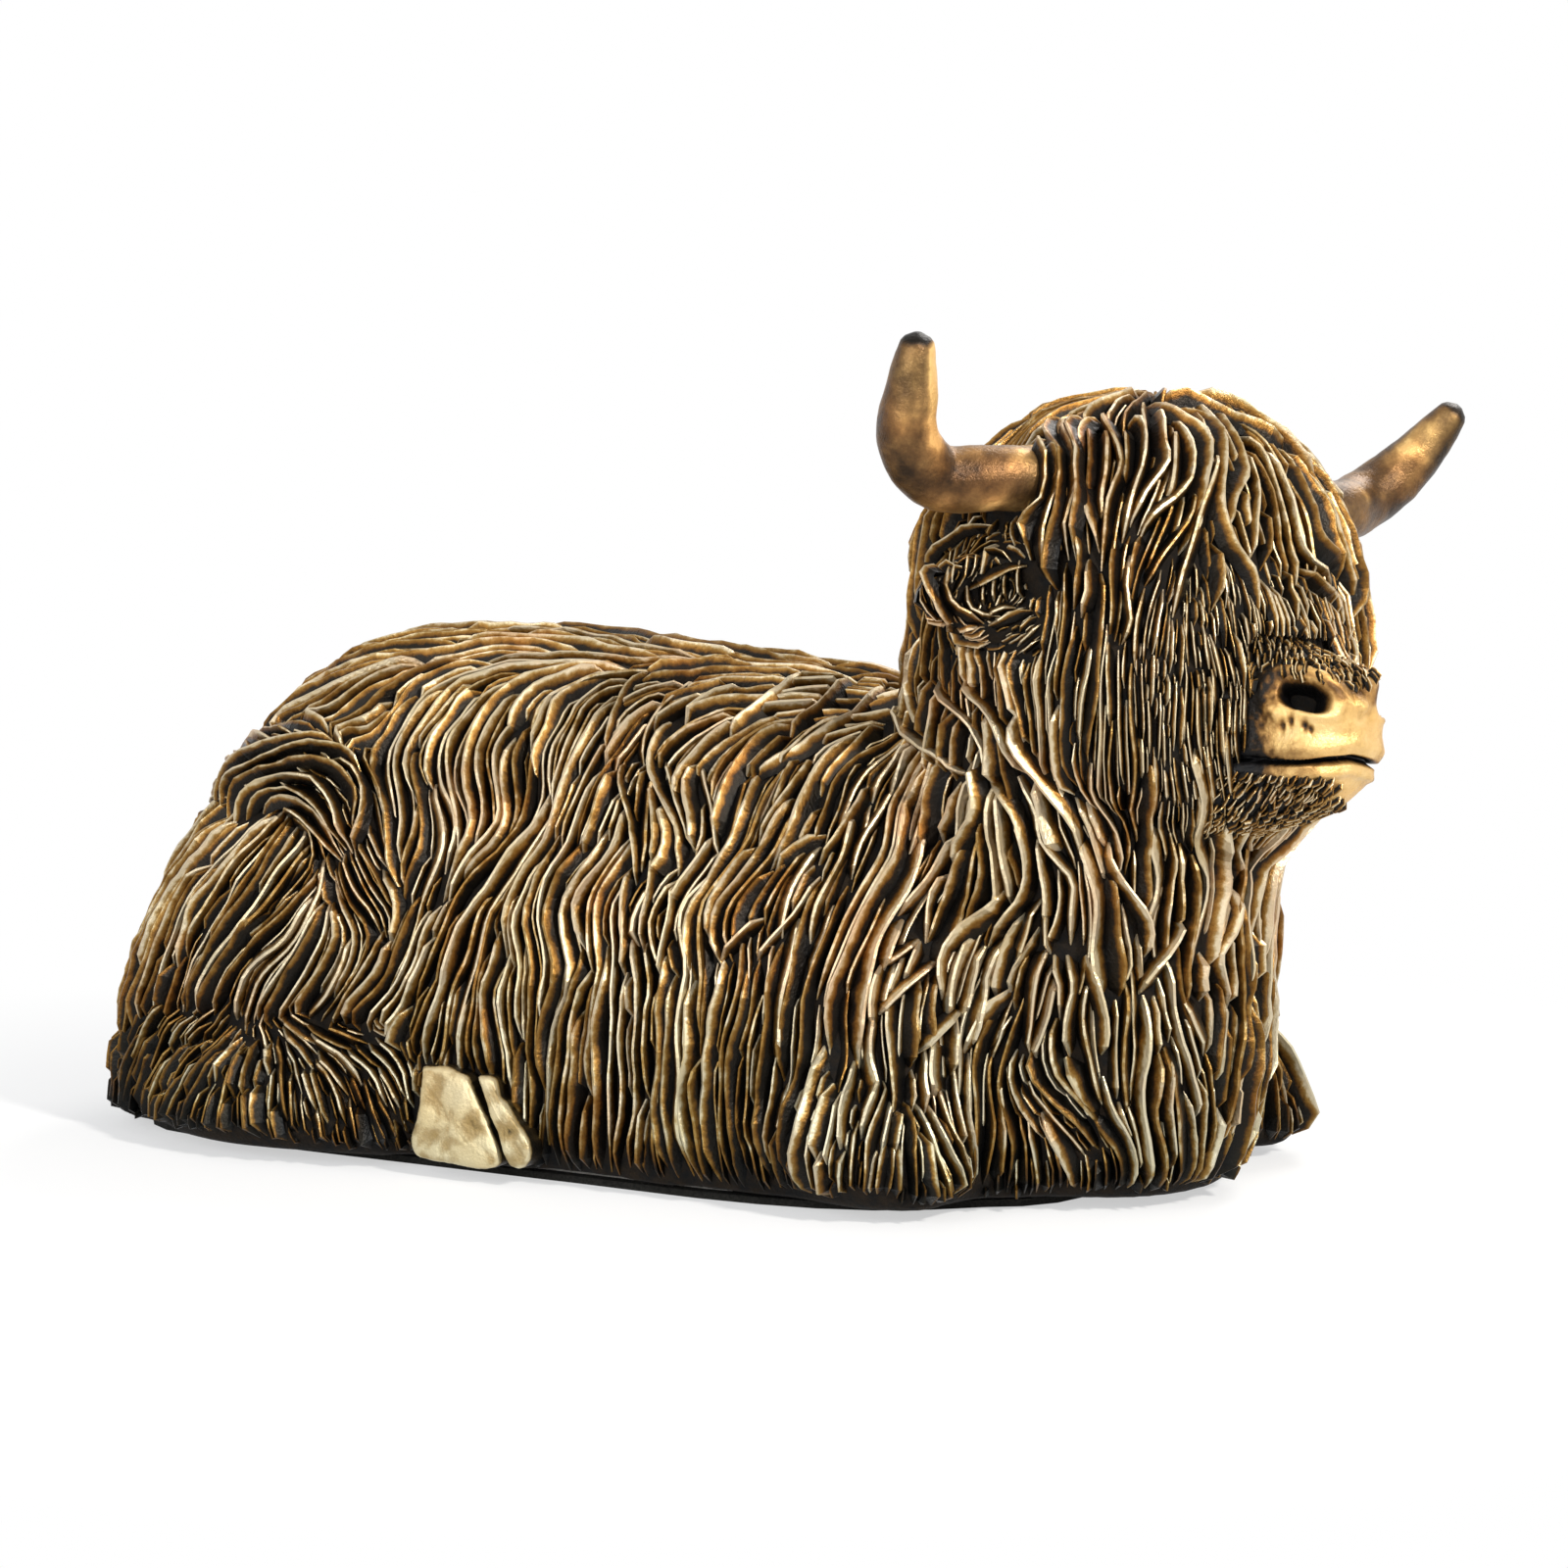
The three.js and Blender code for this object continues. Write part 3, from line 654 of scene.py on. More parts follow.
def strand_tree():
    """Sweeps a rounded ridge along each line, upright on the skin, with a little roll of its own."""
    made = bpy.data.node_groups.new("laid_strands", "GeometryNodeTree")
    for socket, kind in (("Geometry", "Geometry"), ("Height", "Float"), ("Roll", "Float"), ("Seed", "Int"),
                         ("Finish", "Material")):
        made.interface.new_socket(socket, in_out="INPUT", socket_type="NodeSocket" + kind)
    made.interface.new_socket("Geometry", in_out="OUTPUT", socket_type="NodeSocketGeometry")
    given = add_node(made, "NodeGroupInput").outputs
    upright = add_node(made, "GeometryNodeInputNamedAttribute", {"Name": "skin_normal"}, data_type="FLOAT_VECTOR")
    width = add_node(made, "GeometryNodeInputNamedAttribute", {"Name": "half_width"}, data_type="FLOAT")
    line = add_node(made, "GeometryNodeMeshToCurve", {"Mesh": given["Geometry"]})
    line = add_node(made, "GeometryNodeSetCurveNormal",
                    {"Curve": line.outputs[0], "Normal": upright.outputs["Attribute"]}, mode="FREE")
    # Each strand is rolled over a little, to either side.
    owner = add_node(made, "GeometryNodeCurveOfPoint").outputs["Curve Index"]
    least = reckon(made, "MULTIPLY", given["Roll"], -1.0)
    roll = add_node(made, "FunctionNodeRandomValue", {"ID": owner, "Seed": given["Seed"]}, data_type="FLOAT")
    made.links.new(least, roll.inputs[2])
    made.links.new(given["Roll"], roll.inputs[3])
    line = add_node(made, "GeometryNodeSetCurveTilt", {"Curve": line.outputs[0], "Tilt": roll.outputs[1]})
    # A six-sided ring is pressed into a ridge, wide at its foot. Its crest is 0 at the foot and 1 at the top.
    ring = add_node(made, "GeometryNodeCurvePrimitiveCircle", {"Resolution": 6, "Radius": 1.0}, mode="RADIUS")
    ring = add_node(made, "GeometryNodeTransform",
                    {"Geometry": ring.outputs["Curve"], "Rotation": (0.0, 0.0, math.radians(30.0))})
    place = add_node(made, "GeometryNodeInputPosition").outputs[0]
    split = add_node(made, "ShaderNodeSeparateXYZ", {0: place})
    tall = reckon(made, "MULTIPLY", reckon(made, "ADD", split.outputs["X"], 0.45), given["Height"])
    wide = reckon(made, "MULTIPLY_ADD", split.outputs["X"], -0.5, 0.6)
    half = reckon(made, "MULTIPLY", reckon(made, "SIGN", split.outputs["Y"]), wide)
    shaped = add_node(made, "ShaderNodeCombineXYZ", {"X": tall, "Y": half})
    crest = spread_out(made, split.outputs["X"], low=-0.86, high=0.86)
    ring = add_node(made, "GeometryNodeStoreNamedAttribute",
                    {"Geometry": ring.outputs[0], "Name": "crest", "Value": crest},
                    data_type="FLOAT", domain="POINT")
    ring = add_node(made, "GeometryNodeSetPosition",
                    {"Geometry": ring.outputs[0], "Position": shaped.outputs[0]})
    swept = add_node(made, "GeometryNodeCurveToMesh",
                     {"Curve": line.outputs[0], "Profile Curve": ring.outputs[0],
                      "Scale": width.outputs["Attribute"], "Fill Caps": True})
    swept = add_node(made, "GeometryNodeSetShadeSmooth", {"Geometry": swept.outputs[0], "Shade Smooth": False})
    swept = add_node(made, "GeometryNodeRealizeInstances", {"Geometry": swept.outputs[0]})
    swept = add_node(made, "GeometryNodeSetMaterial",
                     {"Geometry": swept.outputs[0], "Material": given["Finish"]})
    made.links.new(swept.outputs[0], add_node(made, "NodeGroupOutput").inputs[0])
    return made


sweep = strand_tree()


def set_inputs(modifier, tree, values):
    """Sets a tree's named inputs on its modifier."""
    for item in tree.interface.items_tree:
        if item.in_out == "INPUT" and item.name in values:
            modifier[item.identifier] = values[item.name]


def grow(name, strands, finish, height, roll, seed):
    """One piece of coat from its strands."""
    points, edges, normals, widths, tones = strand_guides(strands)
    lines = bpy.data.meshes.new(name + "_lines")
    lines.from_pydata(points, edges, [])
    for label, kind, key, values in (
        ("skin_normal", "FLOAT_VECTOR", "vector", np.array(normals)),
        ("half_width", "FLOAT", "value", np.array(widths)),
        ("tone", "FLOAT", "value", np.array(tones)),
    ):
        lines.attributes.new(label, kind, "POINT").data.foreach_set(key, values.astype(np.float32).ravel())
    holder = make_object(name + "_lines", lines)
    modifier = holder.modifiers.new("laid_strands", "NODES")
    modifier.node_group = sweep
    set_inputs(modifier, sweep, {"Height": height, "Roll": roll, "Seed": seed, "Finish": finish})
    mesh = plain_mesh(holder)
    mesh.name = name
    bpy.data.objects.remove(holder)
    bpy.data.meshes.remove(lines)
    made = make_object(name, mesh)
    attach(made, "root")
    return made


LOW_PAINTED_SHADE = (  # painted shade near the floor: the colours darken between these heights, in metres, by so much at the lower one
    (0.0, 0.04, -0.12), (0.002, 0.011, -0.4))
COOL_SHADE_TOP = 0.045  # painted shade cools the colours up to this height, in metres


def bronze(name, stops, tint, metallic, roughness):
    """Bronze rubbed back on the strands' tops: colours from the partings up, a tint that varies, and painted
    shade that darkens and cools the colours near the floor.
    """
    finish, tree, shader = new_finish(name, roughness, metallic)
    crest = add_node(tree, "ShaderNodeAttribute", attribute_name="crest").outputs["Fac"]
    tone = add_node(tree, "ShaderNodeAttribute", attribute_name="tone").outputs["Fac"]
    place = add_node(tree, "ShaderNodeTexCoord").outputs["Object"]
    height = add_node(tree, "ShaderNodeSeparateXYZ", {0: place}).outputs["Z"]
    mottle = reckon(tree, "MULTIPLY_ADD", grain(tree, scale=320.0, detail=6.0, roughness=0.65), 0.7, -0.36)
    rubbed = reckon(tree, "ADD", crest, mottle)
    # Painted shade: the colours darken towards the floor.
    for bottom, top, most in LOW_PAINTED_SHADE:
        rubbed = reckon(tree, "ADD", rubbed, spread_out(tree, height, bottom, top, first=most, last=0.0))
    lean = reckon(tree, "MULTIPLY_ADD", tone, 0.32, -0.17)
    rubbed = reckon(tree, "ADD", rubbed, lean, use_clamp=True)
    colour = colour_ramp(tree, rubbed, stops)
    warm = colour_ramp(tree, grain(tree, scale=60.0, detail=3.0), tint)
    # Painted shade: the colours turn cooler towards the floor.
    shade_free = spread_out(tree, height, low=0.0, high=COOL_SHADE_TOP)
    cool_shade = colour_ramp(tree, shade_free, [(0.0, (0.8, 0.92, 1.0)), (1.0, (1.0, 1.0, 1.0))])
    for tinge in (warm, cool_shade):
        sockets = {0: 1.0, 6: colour, 7: tinge}
        colour = add_node(tree, "ShaderNodeMix", sockets, data_type="RGBA", blend_type="MULTIPLY").outputs[2]
    tree.links.new(colour, shader.inputs["Base Color"])
    bump(tree, shader, grain(tree, scale=1800.0, detail=5.0), strength=0.35, distance=0.0005)
    return finish


rubbed_bronze = bronze(
    "rubbed_bronze",
    [(0.0, (0.008, 0.008, 0.008)), (0.53, (0.018, 0.014, 0.01)), (0.62, (0.075, 0.034, 0.008)),
     (0.77, (0.2, 0.095, 0.018)), (0.87, (0.29, 0.175, 0.056)), (0.93, (0.44, 0.33, 0.18)),
     (1.0, (0.6, 0.5, 0.34))],
    [(0.3, (1.0, 0.96, 0.82)), (0.5, (1.0, 1.0, 1.0)), (0.68, (1.0, 0.82, 0.7))],
    metallic=0.75, roughness=0.34,
)

# The larger locks, each drawn where it is seen: its width in millimetres, then its line, across and down
# the camera's frame. Each line is dropped onto the skin from the camera's place.
MANE_LOCKS = [
    (2.4, (920, 716), (921, 733), (931, 752), (953, 766), (976, 780), (988, 790)),
    (1.8, (936, 688), (936, 707), (942, 727), (951, 747)),
    (2.2, (993, 777), (1001, 797), (1004, 820), (1001, 842), (987, 864), (976, 890)),
    (2.0, (959, 696), (973, 716), (993, 738), (1007, 761), (1015, 792)),
    (2.2, (984, 693), (1004, 713), (1021, 735), (1035, 758), (1052, 792)),
    (2.1, (1037, 727), (1042, 752), (1057, 777), (1071, 797), (1085, 814), (1099, 842), (1106, 878)),
    (2.1, (1012, 797), (1029, 811), (1043, 831), (1049, 859), (1052, 887), (1046, 915), (1026, 943), (1009, 971)),
    (2.2, (1040, 792), (1054, 820), (1063, 848), (1080, 873), (1094, 898), (1094, 929), (1094, 965)),
    (2.5, (1029, 907), (1018, 926), (993, 949), (967, 971), (960, 996), (962, 1024)),
    (1.6, (1063, 915), (1052, 937), (1046, 963), (1035, 980)),
    (1.5, (1066, 926), (1068, 951), (1073, 974)),
    (1.9, (1130, 859), (1133, 884), (1147, 907), (1161, 932), (1168, 954), (1167, 977)),
    (2.5, (1200, 935), (1197, 951), (1186, 974), (1172, 994), (1161, 1016)),
    (2.2, (1248, 901), (1251, 923), (1245, 949), (1234, 971), (1240, 994), (1251, 1033)),
    (2.1, (1066, 968), (1060, 996), (1052, 1033), (1049, 1078)),
    (1.8, (1077, 974), (1082, 1002), (1082, 1041)),
    (2.1, (1091, 974), (1094, 1002), (1091, 1033), (1094, 1078)),
    (2.2, (1108, 974), (1119, 1010), (1124, 1047), (1124, 1078)),
    (2.1, (1206, 1013), (1217, 1041), (1228, 1078)),
    (1.8, (1175, 1016), (1176, 1047), (1181, 1078)),
    (1.9, (981, 797), (984, 820), (973, 842), (965, 862)),
    (1.7, (956, 792), (953, 820), (942, 845), (925, 878)),
    (1.9, (976, 890), (956, 909), (948, 935), (945, 963)),
    (2.0, (987, 850), (965, 881), (939, 909), (917, 937)),
    (1.9, (936, 957), (917, 974), (900, 988)),
    (2.0, (956, 977), (931, 999), (911, 1019), (892, 1038)),
    (1.9, (981, 1027), (956, 1050), (928, 1078)),
    (2.0, (1032, 1010), (1012, 1030), (995, 1055), (984, 1078)),
    (1.7, (1144, 921), (1144, 949), (1150, 982), (1141, 1010)),
    (1.9, (1223, 971), (1217, 996), (1223, 1022)),
    (1.7, (1273, 949), (1276, 977), (1287, 1005)),
]
FLANK_LOCKS = [
    (2.5, (828, 694), (805, 709), (784, 727), (762, 745), (744, 757)),
    (2.2, (876, 701), (853, 717), (830, 737), (807, 757)),
    (2.0, (912, 706), (889, 724), (861, 745), (828, 768), (797, 783), (764, 796)),
    (1.8, (902, 742), (876, 768), (858, 788), (836, 816)),
    (2.0, (828, 778), (825, 793), (810, 813), (790, 836), (772, 864)),
    (2.0, (889, 803), (876, 829), (856, 857), (836, 885)),
    (1.9, (912, 803), (894, 839), (876, 870), (866, 898)),
    (1.9, (767, 706), (739, 714), (713, 727), (698, 742)),
    (1.8, (688, 737), (675, 757), (667, 783), (677, 808), (693, 834), (698, 864), (693, 895)),
    (1.8, (637, 778), (637, 803), (649, 836), (652, 870), (649, 905)),
    (1.7, (718, 783), (723, 813), (731, 844), (736, 880)),
    (1.9, (713, 699), (682, 722), (662, 752), (654, 783)),
    (1.8, (667, 691), (644, 709), (629, 737), (621, 773)),
    (1.7, (682, 778), (690, 808), (703, 839), (711, 870)),
    (1.8, (667, 870), (672, 898), (662, 933), (657, 972)),
    (1.9, (846, 857), (815, 870), (790, 893)),
    (2.1, (784, 936), (762, 956), (733, 982)),
    (1.8, (838, 895), (818, 928), (790, 956), (772, 982)),
    (1.8, (644, 885), (642, 921), (644, 959), (637, 997)),
    (1.8, (693, 900), (688, 931), (680, 967), (677, 1002)),
]
TAIL_LOCKS = [
    (1.8, (222, 826), (236, 798), (258, 774), (290, 762), (320, 760), (345, 765)),
    (1.9, (226, 832), (240, 805), (262, 782), (295, 768), (330, 768), (358, 780), (375, 805)),
    (1.9, (232, 838), (247, 812), (270, 792), (300, 780), (328, 781), (350, 795), (365, 820), (362, 850)),
    (1.9, (240, 842), (256, 820), (280, 802), (305, 793), (328, 797), (345, 815), (356, 845), (359, 872)),
    (1.8, (252, 838), (270, 820), (292, 810), (312, 808), (330, 818), (345, 840), (354, 868)),
    (1.7, (268, 832), (288, 822), (308, 822), (325, 832), (338, 850), (350, 876)),
    (1.8, (340, 775), (362, 792), (376, 815), (374, 845), (362, 868)),
    (1.6, (290, 830), (306, 832), (320, 842), (334, 860), (348, 880)),
]
HORN_ROOT_LOCKS = [
    (1.9, (1068, 424), (1061, 448), (1057, 478), (1060, 508), (1057, 545), (1055, 572)),
    (1.9, (1078, 416), (1071, 448), (1068, 482), (1071, 516), (1067, 556), (1069, 590)),
    (2.0, (1086, 412), (1081, 450), (1080, 490), (1083, 525), (1078, 570), (1080, 602)),
    (1.9, (1094, 410), (1092, 450), (1091, 490), (1094, 525), (1090, 572)),
    (1.8, (1104, 408), (1101, 450), (1102, 490), (1105, 530), (1101, 575)),
]
FRINGE_LOCKS = [
    (2.1, (1072, 409), (1064, 441), (1064, 480), (1068, 520), (1064, 551)),
    (2.1, (1088, 415), (1076, 449), (1080, 488), (1088, 520), (1080, 563)),
    (2.2, (1100, 406), (1088, 445), (1096, 488), (1104, 528), (1104, 583), (1096, 623)),
    (2.2, (1123, 414), (1111, 445), (1104, 480), (1115, 516), (1123, 567)),
    (2.1, (1129, 414), (1131, 441), (1143, 480), (1131, 524), (1123, 583)),
    (2.2, (1155, 415), (1163, 445), (1163, 484), (1151, 524), (1143, 555)),
    (2.3, (1175, 421), (1183, 453), (1183, 480), (1163, 508), (1151, 544)),
    (2.3, (1191, 433), (1210, 460), (1206, 496), (1179, 524), (1163, 551)),
    (2.1, (1167, 417), (1194, 433), (1222, 453), (1222, 488), (1214, 536), (1198, 567)),
    (2.2, (1198, 414), (1226, 437), (1238, 468), (1234, 512), (1246, 551), (1266, 583), (1285, 623)),
    (2.1, (1230, 421), (1246, 449), (1258, 484), (1250, 516), (1242, 551)),
    (2.6, (1179, 415), (1214, 420), (1246, 434), (1278, 449), (1309, 466)),
    (2.6, (1206, 412), (1238, 417), (1270, 434), (1305, 449), (1325, 468), (1345, 496)),
    (2.4, (1285, 460), (1297, 488), (1309, 520), (1317, 551), (1333, 579), (1361, 603)),
    (2.3, (1305, 472), (1321, 508), (1329, 544), (1345, 567), (1364, 583)),
    (2.7, (1329, 468), (1349, 500), (1364, 536), (1368, 567), (1374, 607), (1376, 638)),
    (1.9, (1266, 464), (1274, 500), (1270, 536), (1274, 575)),
    (2.2, (1238, 464), (1234, 496), (1218, 536), (1206, 583), (1198, 631)),
    (1.7, (1281, 520), (1289, 551), (1285, 583)),
    (2.1, (1321, 579), (1337, 603), (1357, 615)),
    (1.8, (1218, 500), (1206, 536), (1183, 571), (1167, 599)),
    (1.8, (1111, 567), (1115, 607), (1104, 631)),
    (1.8, (1309, 583), (1309, 607), (1325, 638)),
    (1.8, (1234, 555), (1238, 587), (1234, 623)),
    (1.8, (1151, 567), (1147, 599), (1155, 634), (1143, 658)),
]
EAR_LOCKS = [
    (1.5, (989, 603), (998, 591), (1012, 582), (1030, 577), (1048, 576)),
    (1.8, (956, 566), (949, 588), (954, 612), (968, 632), (990, 646), (1017, 649)),
    (1.6, (968, 575), (962, 598), (969, 617), (984, 631), (1004, 638)),
    (1.4, (986, 597), (983, 611), (989, 624), (1003, 631), (1021, 628)),
    (1.2, (1003, 590), (1000, 604), (1003, 619)),
    (1.2, (1015, 581), (1012, 598), (1014, 616)),
    (1.2, (1027, 576), (1026, 595), (1029, 614)),
    (1.2, (1039, 572), (1040, 592), (1044, 611)),
    (1.4, (1004, 633), (1020, 622), (1037, 619)),
    (1.4, (1016, 536), (994, 543), (975, 554), (961, 570), (952, 590)),
    (1.3, (1008, 640), (1034, 634), (1056, 622)),
]
UNDER_HORN_LOCKS = [
    (1.2, (1010, 530), (998, 538), (984, 547)),
    (1.2, (1022, 528), (1016, 540), (1010, 552)),
    (1.2, (1032, 526), (1028, 541), (1025, 557)),
    (1.3, (1042, 524), (1039, 541), (1037, 560)),
    (1.3, (1051, 522), (1049, 541), (1048, 562)),
]


def through(points, count):
    """A smooth line through points, evenly stepped between them."""
    points = np.asarray(points, float)
    padded = np.vstack((2.0 * points[0] - points[1], points, 2.0 * points[-1] - points[-2]))
    where = np.linspace(0.0, len(points) - 1.0, count)
    low = np.minimum(where.astype(int), len(points) - 2)
    t = (where - low).reshape((-1,) + (1,) * (points.ndim - 1))
    a, b, c, d = (padded[low + i] for i in range(4))
    return 0.5 * (2.0 * b + (c - a) * t + (2.0 * a - 5.0 * b + 4.0 * c - d) * t ** 2
                  + (3.0 * b - a - 3.0 * c + d) * t ** 3)


LOCK_SPREAD = 1.15  # a lock is laid this much wider than it was drawn


def drawn_locks(rows, tuft, lift, tone, rng):
    """Strands for drawn locks, none rubbed less than the tone given."""
    made = []
    for width, *line in rows:
        line = dropped(line)
        if line is None:
            continue
        length = sum(np.linalg.norm(b - a) for a, b in zip(line[:-1], line[1:]))
        path = [to_skin(q) for q in through(line, max(int(length), 6))]
        made.append({
            "tuft": tuft, "path": path, "width": LOCK_SPREAD * width, "tone": tone + 0.6 * rng.random(),
            "lift": lift * (0.8 + 0.4 * rng.random()), "pace": 1.0, "phase": FULL_TURN * rng.random(),
        })
    return made


def mirrored(strands):
    """The same strands on the left of the head."""
    made = []
    for strand in strands:
        line = [in_head(q * MM) * (1.0, -1.0, 1.0) for q, _ in strand["path"]]
        made.append({**strand, "path": [to_skin(from_head(q) / MM) for q in line]})
    return made


rng = np.random.default_rng(20)
ears = drawn_locks(EAR_LOCKS, "face", lift=1.2, tone=0.3, rng=rng)
ears += drawn_locks(UNDER_HORN_LOCKS, "face", lift=0.5, tone=0.1, rng=np.random.default_rng(21))
drawn = (
    # The horn roots' and the fringe's locks get low tones: painted shade on the fringe.
    drawn_locks(HORN_ROOT_LOCKS, "fringe", lift=2.6, tone=0.0, rng=rng)
    + drawn_locks(MANE_LOCKS, "mane", lift=1.0, tone=0.75, rng=rng)
    + drawn_locks(FLANK_LOCKS, "flank", lift=0.6, tone=0.35, rng=rng)
    + drawn_locks(FRINGE_LOCKS, "fringe", lift=0.9, tone=0.1, rng=rng)
    + drawn_locks(TAIL_LOCKS, "tail", lift=1.6, tone=0.2, rng=rng)
    + ears + mirrored(ears)
)
taken = Spacing(cell=3.0)
for strand in drawn:
    for q, _ in strand["path"]:
        taken.add(q)
# The strands between the locks, short ones that fill the gaps, and thin ones under both.
laid = lay_strands(rng, tries=90000, taken=taken, spread=0.74, slim=1.0, lift=0.7)
fill = lay_strands(rng, tries=60000, taken=taken, spread=0.56, slim=0.64, lift=0.4, share=0.4)
under = lay_strands(rng, tries=120000, taken=taken, spread=0.46, slim=0.6, lift=0.2)
# Loose ones over the rest on the left and at the nape, where no locks are drawn.
over = lay_strands(rng, tries=9000, taken=Spacing(cell=9.0), spread=3.0, slim=1.1, lift=1.8,
                   only=("mane", "fringe", "flank", "nape"))
over = [s for s in over if s["path"][len(s["path"]) // 2][0][1] > 0.0 or s["tuft"] == "nape"]
COATS = {  # for each piece, the solid it stands for and the strands that belong to it
    "right_flank_coat": ("body_casting", lambda s: s["tuft"] in ("flank", "tail") and s["path"][0][0][1] < 0),
    "left_flank_coat": ("body_casting", lambda s: s["tuft"] in ("flank", "tail") and s["path"][0][0][1] >= 0),
    "mane_coat": ("body_casting", lambda s: s["tuft"] == "mane"),
    "leg_coat": ("body_casting", lambda s: s["tuft"] in ("legs", "hem")),
    "fringe_coat": ("head_casting", lambda s: s["tuft"] in ("fringe", "nape")),
    "face_coat": ("head_casting", lambda s: s["tuft"] == "face"),
}
for seed, (name, (node_name, belongs)) in enumerate(COATS.items()):
    chosen = [s for s in drawn + laid + fill + under + over if belongs(s)]
    coat = grow(name, chosen, rubbed_bronze, height=1.35, roll=0.5, seed=seed)
    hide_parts(node_name)


# The muzzle: bare bronze resin, modelled smooth and rubbed to pale gold, with deep stained nostrils,
# a dark mouth and small dents under each nostril. It swings a little to the left of the skull.
MUZZLE = np.array([  # along, half width, top and bottom in the head's frame, in millimetres
    (14.0, 20.0, 4.0, -42.0), (20.0, 15.5, -3.0, -39.5), (26.0, 11.9, -7.6, -37.0), (30.0, 10.6, -9.2, -35.6),
    (33.0, 10.2, -9.8, -34.4), (36.0, 9.7, -10.4, -32.8), (38.0, 8.9, -11.4, -31.0), (39.6, 7.4, -13.2, -28.8),
    (40.6, 5.4, -15.6, -26.6), (41.2, 3.0, -18.2, -23.8), (41.5, 0.5, -20.6, -21.6)])
MUZZLE_ROWS, MUZZLE_COLS = 180, 210
SQUARENESS = 2.4  # of the muzzle's rings, where 2 is round
NOSTRIL = (37.2, 8.4, -15.7)  # the left one's middle, before the swing
NOSTRIL_HALF = (4.3, 2.6)  # across and up
NOSTRIL_DEPTH = 5.5
DENTS = (  # inwards and up from a nostril's middle, and size
    (-1.3, -4.5, 0.5), (1.2, -4.7, 0.6), (-2.7, -5.4, 0.45), (2.2, -4.9, 0.4))
MOUTH, MOUTH_RISE, MOUTH_DEPTH = -26.6, 1.5, 2.0  # its height at the corners, its rise to the front and its depth
FRONT_SIDE = (0.573, 0.819)  # a way between forward and sideways


def ring_mesh(name, rings):
    """A closed skin over rings of points, with a point in the middle of each end."""
    rows, cols = rings.shape[:2]
    points = rings.reshape(-1, 3).tolist()
    faces = [(i * cols + j, i * cols + (j + 1) % cols, (i + 1) * cols + (j + 1) % cols, (i + 1) * cols + j)
             for i in range(rows - 1) for j in range(cols)]
    for row, turned in ((0, True), (rows - 1, False)):
        hub = len(points)
        points.append(rings[row].mean(axis=0).tolist())
        for j in range(cols):
            edge = (row * cols + j, row * cols + (j + 1) % cols)
            faces.append((edge[1], edge[0], hub) if turned else (*edge, hub))
    mesh = bpy.data.meshes.new(name)
    mesh.from_pydata(points, [], faces)
    form = bmesh.new()
    form.from_mesh(mesh)
    bmesh.ops.recalc_face_normals(form, faces=form.faces)
    form.to_mesh(mesh)
    form.free()
    mesh.polygons.foreach_set("use_smooth", [True] * len(mesh.polygons))
    return mesh


def lumps(points, size, octaves):
    """How uneven each point is: lumps of about a size, with smaller ones on them."""
    return np.array([noise.fractal(Vector(q) / size, 1.0, 2.0, octaves) for q in points])


def keep_gold_level(mesh, gold_level, tone, finish):
    """Keeps how pale each point of a mesh is, from rubbing and from painted light and shade, and gives the mesh
    its finish.
    """
    for label, values in (("crest", gold_level), ("tone", np.full(len(gold_level), tone))):
        mesh.attributes.new(label, "FLOAT", "POINT").data.foreach_set("value", values.astype(np.float32))
    mesh.materials.append(finish)


def swing(along):
    """How far the muzzle is to the left of the skull."""
    return MUZZLE_SWING * ease(SWING_START, SWING_END, along)


table = through(MUZZLE, MUZZLE_ROWS)
around = np.linspace(0.0, 2.0 * math.pi, MUZZLE_COLS, endpoint=False)
side_share, up_share = (
    np.sign(turn) * np.abs(turn) ** (2.0 / SQUARENESS) for turn in (np.cos(around), np.sin(around)))
along, half, top, bottom = (table[:, i:i + 1] for i in range(4))
rings = np.stack((
    np.repeat(along, MUZZLE_COLS, axis=1),
    swing(along) + half * side_share,
    (top + bottom) / 2.0 + (top - bottom) / 2.0 * up_share,
), axis=2)
mesh = ring_mesh("muzzle", rings)
points, outward = points_of(mesh), normals_of(mesh)
gold_level = np.full(len(points), 0.86)
height = np.zeros(len(points))
x, y, z = points.T
y = y - swing(x)
# The nostrils: deep wells, with a raised rim above and at the outer end, and dents below.
for hand in (-1.0, 1.0):
    middle = (NOSTRIL[0], hand * NOSTRIL[1], NOSTRIL[2])
    centre = points[np.argmin(np.linalg.norm(np.stack((x, y, z), 1) - middle, axis=1))]
    face = outward[np.argmin(np.linalg.norm(points - centre, axis=1))]
    level = np.cross((0.0, 0.0, 1.0), face)
    level /= np.linalg.norm(level)
    steep = np.cross(face, level)
    away = points - centre
    inward, up_it = -hand * (away @ level), away @ steep
    up_it = up_it + 0.12 * inward  # the outer end is the higher one
    far = (np.abs(inward / NOSTRIL_HALF[0]) ** 2.5 + np.abs(up_it / NOSTRIL_HALF[1]) ** 2.5 + 1e-9) ** 0.4
    near = np.linalg.norm(away, axis=1) < 10.0
    well = near * ease(1.05, 0.85, far)
    above = ease(-0.6, 1.6, up_it) + 0.8 * ease(-2.0, -4.0, inward)
    rim = near * np.exp(-((far - 1.55) / 0.4) ** 2) * np.minimum(above, 1.0)
    edge = near * np.exp(-((far - 1.2) / 0.16) ** 2)
    height += -NOSTRIL_DEPTH * well + 1.05 * rim + 0.35 * edge * ease(0.0, 3.0, inward)
    # Just inside the rim above each nostril the gold is darkened: a painted shadow under the rim.
    gold_level -= 1.6 * well + 0.3 * edge * ease(0.2, 1.6, up_it)
    for dent_in, dent_up, size in DENTS:
        pit = near * np.exp(-(((inward - dent_in) / size) ** 2 + ((up_it - dent_up) / (1.4 * size)) ** 2))
        height -= 0.7 * pit
        gold_level -= 0.6 * pit
